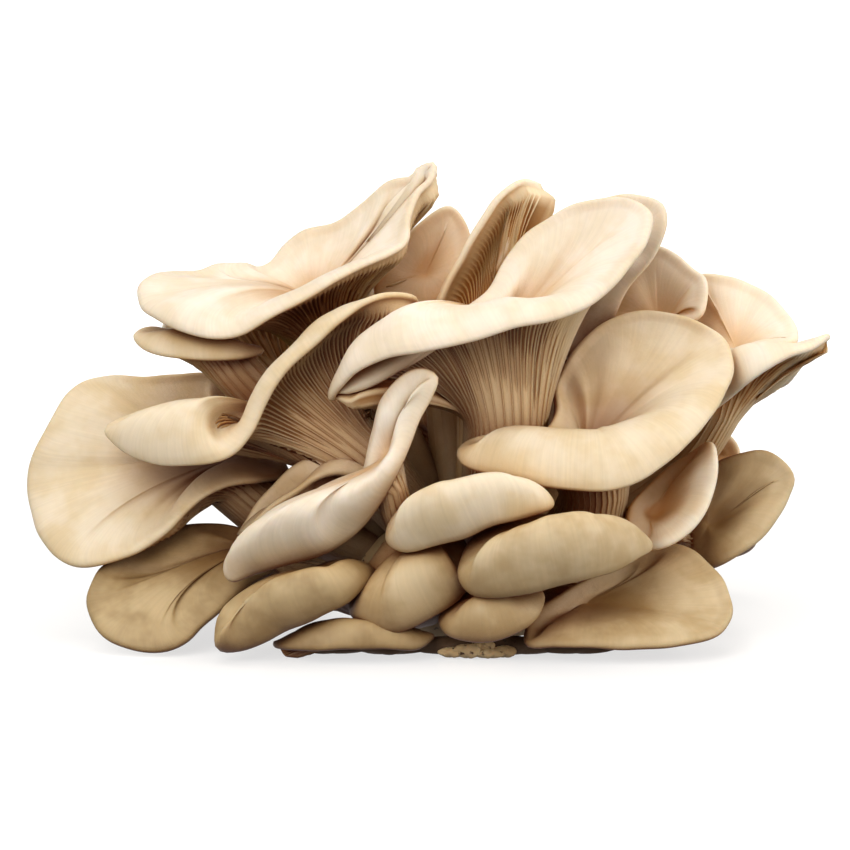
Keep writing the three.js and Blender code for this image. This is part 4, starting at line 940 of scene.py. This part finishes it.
def mushroom_flesh(name, cap, shade, throat, edge, crease_shade):
    """Oyster mushroom flesh: a satin cap skin with faint fibres, paler gills and a fibrous stem, with
    painted shade in the throat, at the very edge, in the gill valleys and where other flesh shuts it in.
    Light goes a little way in, which gives the shaded sides their warm colour."""
    material, tree = new_material(name)
    add = partial(add_node, tree)
    inner, margin, under, gill, root, around, away = [
        add("ShaderNodeAttribute", {"attribute_name": mask}, "Fac") for mask in Skin.MASKS
    ]
    place_in_m = add("ShaderNodeTexCoord", None, "Object")
    place_in_mm = add("ShaderNodeVectorMath", SCALED, i0=place_in_m, Scale=1 / MM)

    # Fibres run from the throat to the margin. Real ones are finer.
    fibre_across = add("ShaderNodeMath", PRODUCT, i0=around, i1=1 / FIBRE_WIDTH)
    fibre_along = add("ShaderNodeMath", PRODUCT, i0=away, i1=1 / FIBRE_LENGTH)
    fibre_place = add("ShaderNodeCombineXYZ", X=fibre_across, Y=fibre_along)
    fibres = add("ShaderNodeTexNoise", Vector=fibre_place, Scale=1.0, Detail=3.0, Roughness=0.6)
    patches = add("ShaderNodeTexNoise", Vector=place_in_mm, Scale=1 / PATCH, Detail=3.0, Roughness=0.55)
    grain = add("ShaderNodeTexNoise", Vector=place_in_mm, Scale=1 / GRAIN, Detail=2.0, Roughness=0.6)
    patchy = add("ShaderNodeMapRange", SMOOTH, i0=patches, i1=0.35, i2=0.68)

    # The skin of the cap, with painted shade in the throat and at the very edge
    skin = add("ShaderNodeMix", MIXED, COLOUR_OUT, i0=patchy, i6=linear(cap), i7=linear(shade))
    deep_in = add("ShaderNodeMapRange", SMOOTH, i0=inner, i1=0.2, i2=0.95, i4=0.8)
    skin = add("ShaderNodeMix", MIXED, COLOUR_OUT, i0=deep_in, i6=skin, i7=linear(throat))
    far_out = add("ShaderNodeMath", PRODUCT, i0=margin, i1=0.3)
    skin = add("ShaderNodeMix", MIXED, COLOUR_OUT, i0=far_out, i6=skin, i7=linear(edge))

    # Below, pale gills with painted shade in their valleys, and the stem
    valley = add("ShaderNodeMapRange", i0=gill, i1=0.5, i2=0.0)
    gills = add("ShaderNodeMix", MIXED, COLOUR_OUT, i0=valley, i6=linear("#E6D2B0"), i7=linear("#B08450"))
    stem = add("ShaderNodeMix", MIXED, COLOUR_OUT, i0=patchy, i6=linear("#E4D2B4"), i7=linear("#D2B78D"))
    below = add("ShaderNodeMix", MIXED, COLOUR_OUT, i0=root, i6=gills, i7=stem)
    colour = add("ShaderNodeMix", MIXED, COLOUR_OUT, i0=under, i6=skin, i7=below)
    streaks = add("ShaderNodeMapRange", i0=fibres, i1=0.3, i2=0.7, i3=0.94, i4=1.03)
    grey_streaks = add("ShaderNodeCombineColor", i0=streaks, i1=streaks, i2=streaks)
    colour = add("ShaderNodeMix", MULTIPLIED, COLOUR_OUT, i0=1.0, i6=colour, i7=grey_streaks)

    # Painted shade: flesh turns warmer and browner the less open it lies, as if shaded by the flesh round
    # it, and dark brown on the stems deep in the hollows.
    openness = add("ShaderNodeAmbientOcclusion", {"samples": 6}, "AO", Distance=SHADE_REACH * MM)
    mild_shade_amount = add("ShaderNodeMapRange", SMOOTH, i0=openness, i1=0.95, i2=0.4)
    colour = add("ShaderNodeMix", MULTIPLIED, COLOUR_OUT, i0=mild_shade_amount, i6=colour, i7=linear("#F8EAD2"))
    crease_shade_amount = add("ShaderNodeMapRange", SMOOTH, i0=openness, i1=0.62, i2=0.06)
    crease_shade_colour = add("ShaderNodeMix", MIXED, COLOUR_OUT, i0=root, i6=linear(crease_shade), i7=linear("#4A2408"))
    colour = add("ShaderNodeMix", MULTIPLIED, COLOUR_OUT, i0=crease_shade_amount, i6=colour, i7=crease_shade_colour)

    fibre_height = add("ShaderNodeMath", PRODUCT, i0=fibres, i1=0.6)
    height = add("ShaderNodeMath", {"operation": "MULTIPLY_ADD"}, i0=grain, i1=0.4, i2=fibre_height)
    shader = add(
        "ShaderNodeBsdfPrincipled",
        {"subsurface_method": "RANDOM_WALK"},
        Base_Color=colour,
        Roughness=0.55,
        IOR=1.4,
        Subsurface_Weight=0.25,
        Subsurface_Radius=(1.0, 0.6, 0.3),
        Subsurface_Scale=3.0 * MM,
        Normal=add("ShaderNodeBump", Strength=0.25, Distance=0.25 * MM, Height=height),
    )
    add("ShaderNodeOutputMaterial", Surface=shader)
    return material


def cut_base_flesh():
    """The flesh of the base, where the stems have merged: dense, dull and browned, with dark crumbs, and a
    dark brown of painted shade on the lumps in front of it.
    """
    material, tree = new_material("browned_base_flesh")
    add = partial(add_node, tree)
    place_in_m = add("ShaderNodeTexCoord", None, "Object")
    place_in_mm = add("ShaderNodeVectorMath", SCALED, i0=place_in_m, Scale=1 / MM)
    # Patches of tone about 9 mm across, and crumbs of about 2 mm
    patches = add("ShaderNodeTexNoise", Vector=place_in_mm, Scale=1 / 9, Detail=4.0)
    crumbs = add("ShaderNodeTexNoise", Vector=place_in_mm, Scale=1 / 2.2, Detail=3.0)
    specks = add("ShaderNodeMapRange", i0=crumbs, i1=0.6, i2=0.68)
    flesh = add("ShaderNodeMix", MIXED, COLOUR_OUT, i0=patches, i6=linear("#D3B98E"), i7=linear("#9A7444"))
    # The mask is 1 on the cut flesh and its scraps, and 0 on the dark lumps behind them, whose dark brown is
    # painted shade under the cluster.
    paleness = add("ShaderNodeAttribute", {"attribute_name": "root"}, "Fac")
    flesh = add("ShaderNodeMix", MIXED, COLOUR_OUT, i0=paleness, i6=linear("#4E3620"), i7=flesh)
    colour = add("ShaderNodeMix", MIXED, COLOUR_OUT, i0=specks, i6=flesh, i7=linear("#3B2414"))
    shader = add(
        "ShaderNodeBsdfPrincipled",
        Base_Color=colour,
        Roughness=0.75,
        IOR=1.4,
        Subsurface_Weight=0.2,
        Subsurface_Radius=(1.0, 0.5, 0.25),
        Subsurface_Scale=2.0 * MM,
        Normal=add("ShaderNodeBump", Strength=0.5, Distance=0.5 * MM, Height=crumbs),
    )
    add("ShaderNodeOutputMaterial", Surface=shader)
    return material


# Lit and shaded copies of the flesh: pale at the back and the top, where the painted shade is lighter, cream
# on the open caps, and darker low down, which is partly a greyer tone and partly painted shade.
# Each has the colours of the skin, its patches, the painted shade of the throat and the edge, and the
# painted shade of shut-in places.
PALE = mushroom_flesh("pale_cap_flesh", "#F3EADD", "#EEDFC8", "#E2BE92", "#E6D2B0", "#DDAE70")
CREAM = mushroom_flesh("cream_cap_flesh", "#EFE4D6", "#E4D6BF", "#CBA070", "#D6BE98", "#8C4A10")
TAN = mushroom_flesh("tan_cap_flesh", "#E8DAC2", "#DCC8A4", "#8A5222", "#C8AC7A", "#8C4A10")
OLIVE = mushroom_flesh("grey_cap_flesh", "#D4C09C", "#BCA37A", "#A07A42", "#98835A", "#8C4A10")
DARK = mushroom_flesh("dark_cap_flesh", "#C8B188", "#A88F66", "#7E5628", "#84704C", "#7C400C")
FLESH_WORDS = (
    (DARK, ("left_floor", "left_low", "front_floor")),
    (OLIVE, ("low", "floor", "front_left", "front_middle")),
    (TAN, ("swoop", "far", "tucked", "funnel", "front_upper", "thin")),
    (PALE, ("upright", "small", "top", "shoulder", "point", "high", "fold")),
)


def material_of(name):
    for flesh, words in FLESH_WORDS:
        if any(word in name for word in words):
            return flesh
    return CREAM


def settle(piece, node):
    """Lets a piece stand for its solid in the frame."""
    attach(piece, "root")
    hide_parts(node)


for m in MUSHROOMS:
    settle(grow(m).to_object("fine_" + m["name"], material_of(m["name"])), m["name"])


# Torn scraps of base flesh that lie in front of the cluster: centre, then half length, depth and height
SCRAPS = (
    ((7, -37.5, 1.5), (3.2, 2.4, 1.3)),
    ((11, -38.5, 2.0), (3.6, 2.2, 1.8)),
    ((14.5, -37, 3.0), (2.8, 2.0, 1.5)),
    ((16, -38.5, 1.4), (3.6, 2.4, 1.2)),
    ((20, -37.5, 1.7), (2.8, 2.2, 1.5)),
)
# Dark lumps behind the scraps, down to the table, that stand for the shade under the cluster: painted shade
SHADE_LUMPS = (
    ((-24, -33, 1.9), (9, 3, 1.6)),
    ((-9, -34, 2.1), (10, 3, 1.8)),
    ((7, -34, 2.6), (10, 3, 2.3)),
    ((23, -34, 2.6), (10, 3, 2.3)),
    ((38, -33, 2.1), (10, 3, 1.8)),
)


def add_scrap(skin, centre, half_sizes, paleness):
    """A flat ragged lump as one closed body."""
    turn = 2 * math.pi * np.arange(36) / 36
    first, second, third = rng.uniform(0, 2 * math.pi, 3)
    rows = []
    for tilt in np.linspace(0.08, 0.92, 12) * math.pi:
        ragged = 1 + 0.16 * np.cos(3 * turn + first) + 0.1 * np.cos(7 * turn + second + 2 * tilt)
        lift = 0.12 * np.cos(5 * turn + third)
        unit_ring = [math.sin(tilt) * np.cos(turn) * ragged, math.sin(tilt) * np.sin(turn) * ragged]
        ring = np.stack([*unit_ring, math.cos(tilt) + lift * math.sin(tilt)], -1)
        rows.append(np.array(centre) + ring * half_sizes)
    numbers = skin.add(rows, root=paleness)
    skin.sheet(numbers)
    top = skin.add(rows[0].mean(0)[None], root=paleness)
    bottom = skin.add(rows[-1].mean(0)[None], root=paleness)
    skin.fan(top[0], numbers[0], inward=False)
    skin.fan(bottom[0], numbers[-1], inward=True)


def grow_base():
    """The base as one closed mesh, with a lumpy surface between the folds, the scraps torn off it and dark
    lumps of painted shade behind them.
    """
    skin = Skin()
    sides = FINE_BASE_SIDES
    heights = np.linspace(0, BASE_RINGS[-1][0], FINE_BASE_ROWS)
    stops = [h for h, _ in BASE_RINGS]
    shares = np.interp(heights, stops, [s for _, s in BASE_RINGS])
    rows = np.array([base_ring(h, s, sides) for h, s in zip(heights, shares)])[::-1]
    turn = 2 * math.pi * np.arange(sides) / sides
    climb = heights[::-1, None] / 4
    lumps = sum(np.cos(count * turn[None] + phase + climb) for count, phase in BASE_LUMPS)
    rows[:-1] += grid_normals(rows)[:-1] * (BASE_LUMP_HEIGHT * lumps)[:-1, :, None]
    numbers = skin.add(rows, root=1.0, under=1.0, gill=0.5)
    skin.sheet(numbers)
    top = skin.add(np.array([[*BASE_CENTRE, BASE_RINGS[-1][0] + 1]]), root=1.0)
    cut = skin.add(np.array([[*BASE_CENTRE, 0.0]]), root=1.0)
    skin.fan(top[0], numbers[0], inward=False)
    skin.fan(cut[0], numbers[-1], inward=True)
    for centre, half_sizes in SCRAPS:
        add_scrap(skin, centre, half_sizes, paleness=1.0)
    # Dark lumps of painted shade under the cluster
    for centre, half_sizes in SHADE_LUMPS:
        add_scrap(skin, centre, half_sizes, paleness=0.0)
    return skin


settle(grow_base().to_object("fine_base", cut_base_flesh()), "base")


# The camera looks a little downward from the front, with a long lens.
PICTURE_CENTRE_HEIGHT = 58.75  # seen height of the middle of the picture, above the front line
CAMERA_DISTANCE = 1062.5
look = Vector((0, SEEN_COS, -SEEN_SIN))
up = Vector((0, SEEN_SIN, SEEN_COS))
target = Vector(to_frame) + Vector((0, FRONT_LINE, 0)) + up * PICTURE_CENTRE_HEIGHT
camera = bpy.data.objects.new("camera", bpy.data.cameras.new("camera"))
camera.data.lens = 180
camera.data.sensor_width = 36
camera.data.clip_end = 100
camera.matrix_world = Matrix.Translation((target - look * CAMERA_DISTANCE) * MM) @ Matrix(
    (look.cross(up), up, -look)
).transposed().to_4x4()
bpy.context.scene.collection.objects.link(camera)
bpy.context.scene.camera = camera


GLOW_FROM = 0.12  # metres from the middle at which the table's own light begins to grow
GLOW_FULL = 0.6
NEAR_GLOW = 0.66  # its strength under the cluster


def white_table():
    """A smooth white sheet whose own glow, painted light, keeps it white; the glow is weaker under the
    cluster. It faintly mirrors what stands on it.
    """
    material, tree = new_material("white_acrylic_table")
    add = partial(add_node, tree)
    place_in_m = add("ShaderNodeTexCoord", None, "Object")
    distance = add("ShaderNodeVectorMath", {"operation": "LENGTH"}, "Value", i0=place_in_m)
    glow = add("ShaderNodeMapRange", SMOOTH, i0=distance, i1=GLOW_FROM, i2=GLOW_FULL, i3=NEAR_GLOW, i4=1.0)
    shader = add(
        "ShaderNodeBsdfPrincipled",
        Base_Color=linear("#A6A6A6"),
        Roughness=0.22,
        Specular_IOR_Level=0.05,
        Emission_Color=linear("#FFFFFF"),
        Emission_Strength=glow,
    )
    add("ShaderNodeOutputMaterial", Surface=shader)
    return material


TABLE_SIZE = 16.0
table_mesh = bpy.data.meshes.new("table")
half = TABLE_SIZE / 2
corners = [(-half, -half, 0), (half, -half, 0), (half, half, 0), (-half, half, 0)]
table_mesh.from_pydata(corners, [], [(0, 1, 2, 3)])
table_mesh.materials.append(white_table())
table = bpy.data.objects.new("table", table_mesh)
table.visible_diffuse = False  # so the light comes from above, and what hangs low stays in the shade
bpy.context.scene.collection.objects.link(table)


def softbox(name, place_m, aim_m, size_m, power, colour):
    """A soft square lamp at a place, turned to what it lights."""
    lamp = bpy.data.lights.new(name, "AREA")
    lamp.size = size_m
    lamp.energy = power
    lamp.color = linear(colour)[:3]
    holder = bpy.data.objects.new(name, lamp)
    holder.location = place_m
    holder.rotation_mode = "QUATERNION"
    holder.rotation_quaternion = (Vector(aim_m) - Vector(place_m)).to_track_quat("-Z", "Y")
    bpy.context.scene.collection.objects.link(holder)


softbox("top_softbox", (-0.1, -0.05, 0.9), (0, 0, 0.05), 0.7, 2.6, "#FFFCF8")
softbox("front_softbox", (-0.4, -0.95, 0.55), (0, 0, 0.05), 0.7, 6.9, "#FFFCF8")
softbox("right_softbox", (0.95, -0.25, 0.35), (0, 0, 0.06), 0.6, 5.5, "#FFFAF4")


WALL_GLOW = 0.62
DARK_BELOW = 0.06


def studio_world():
    """A white studio: bright walls round the table, and dark under it."""
    world = bpy.data.worlds.new("studio")
    world.use_nodes = True
    tree = world.node_tree
    tree.nodes.clear()
    add = partial(add_node, tree)
    direction = add("ShaderNodeTexCoord", None, "Generated")
    upward = add("ShaderNodeSeparateXYZ", None, "Z", Vector=direction)
    strength = add("ShaderNodeMapRange", SMOOTH, i0=upward, i1=-0.05, i2=0.02, i3=DARK_BELOW, i4=WALL_GLOW)
    background = add("ShaderNodeBackground", Color=linear("#FFF9F0"), Strength=strength)
    add("ShaderNodeOutputWorld", Surface=background)
    return world


bpy.context.scene.world = studio_world()
bpy.context.scene.view_settings.view_transform = "Standard"
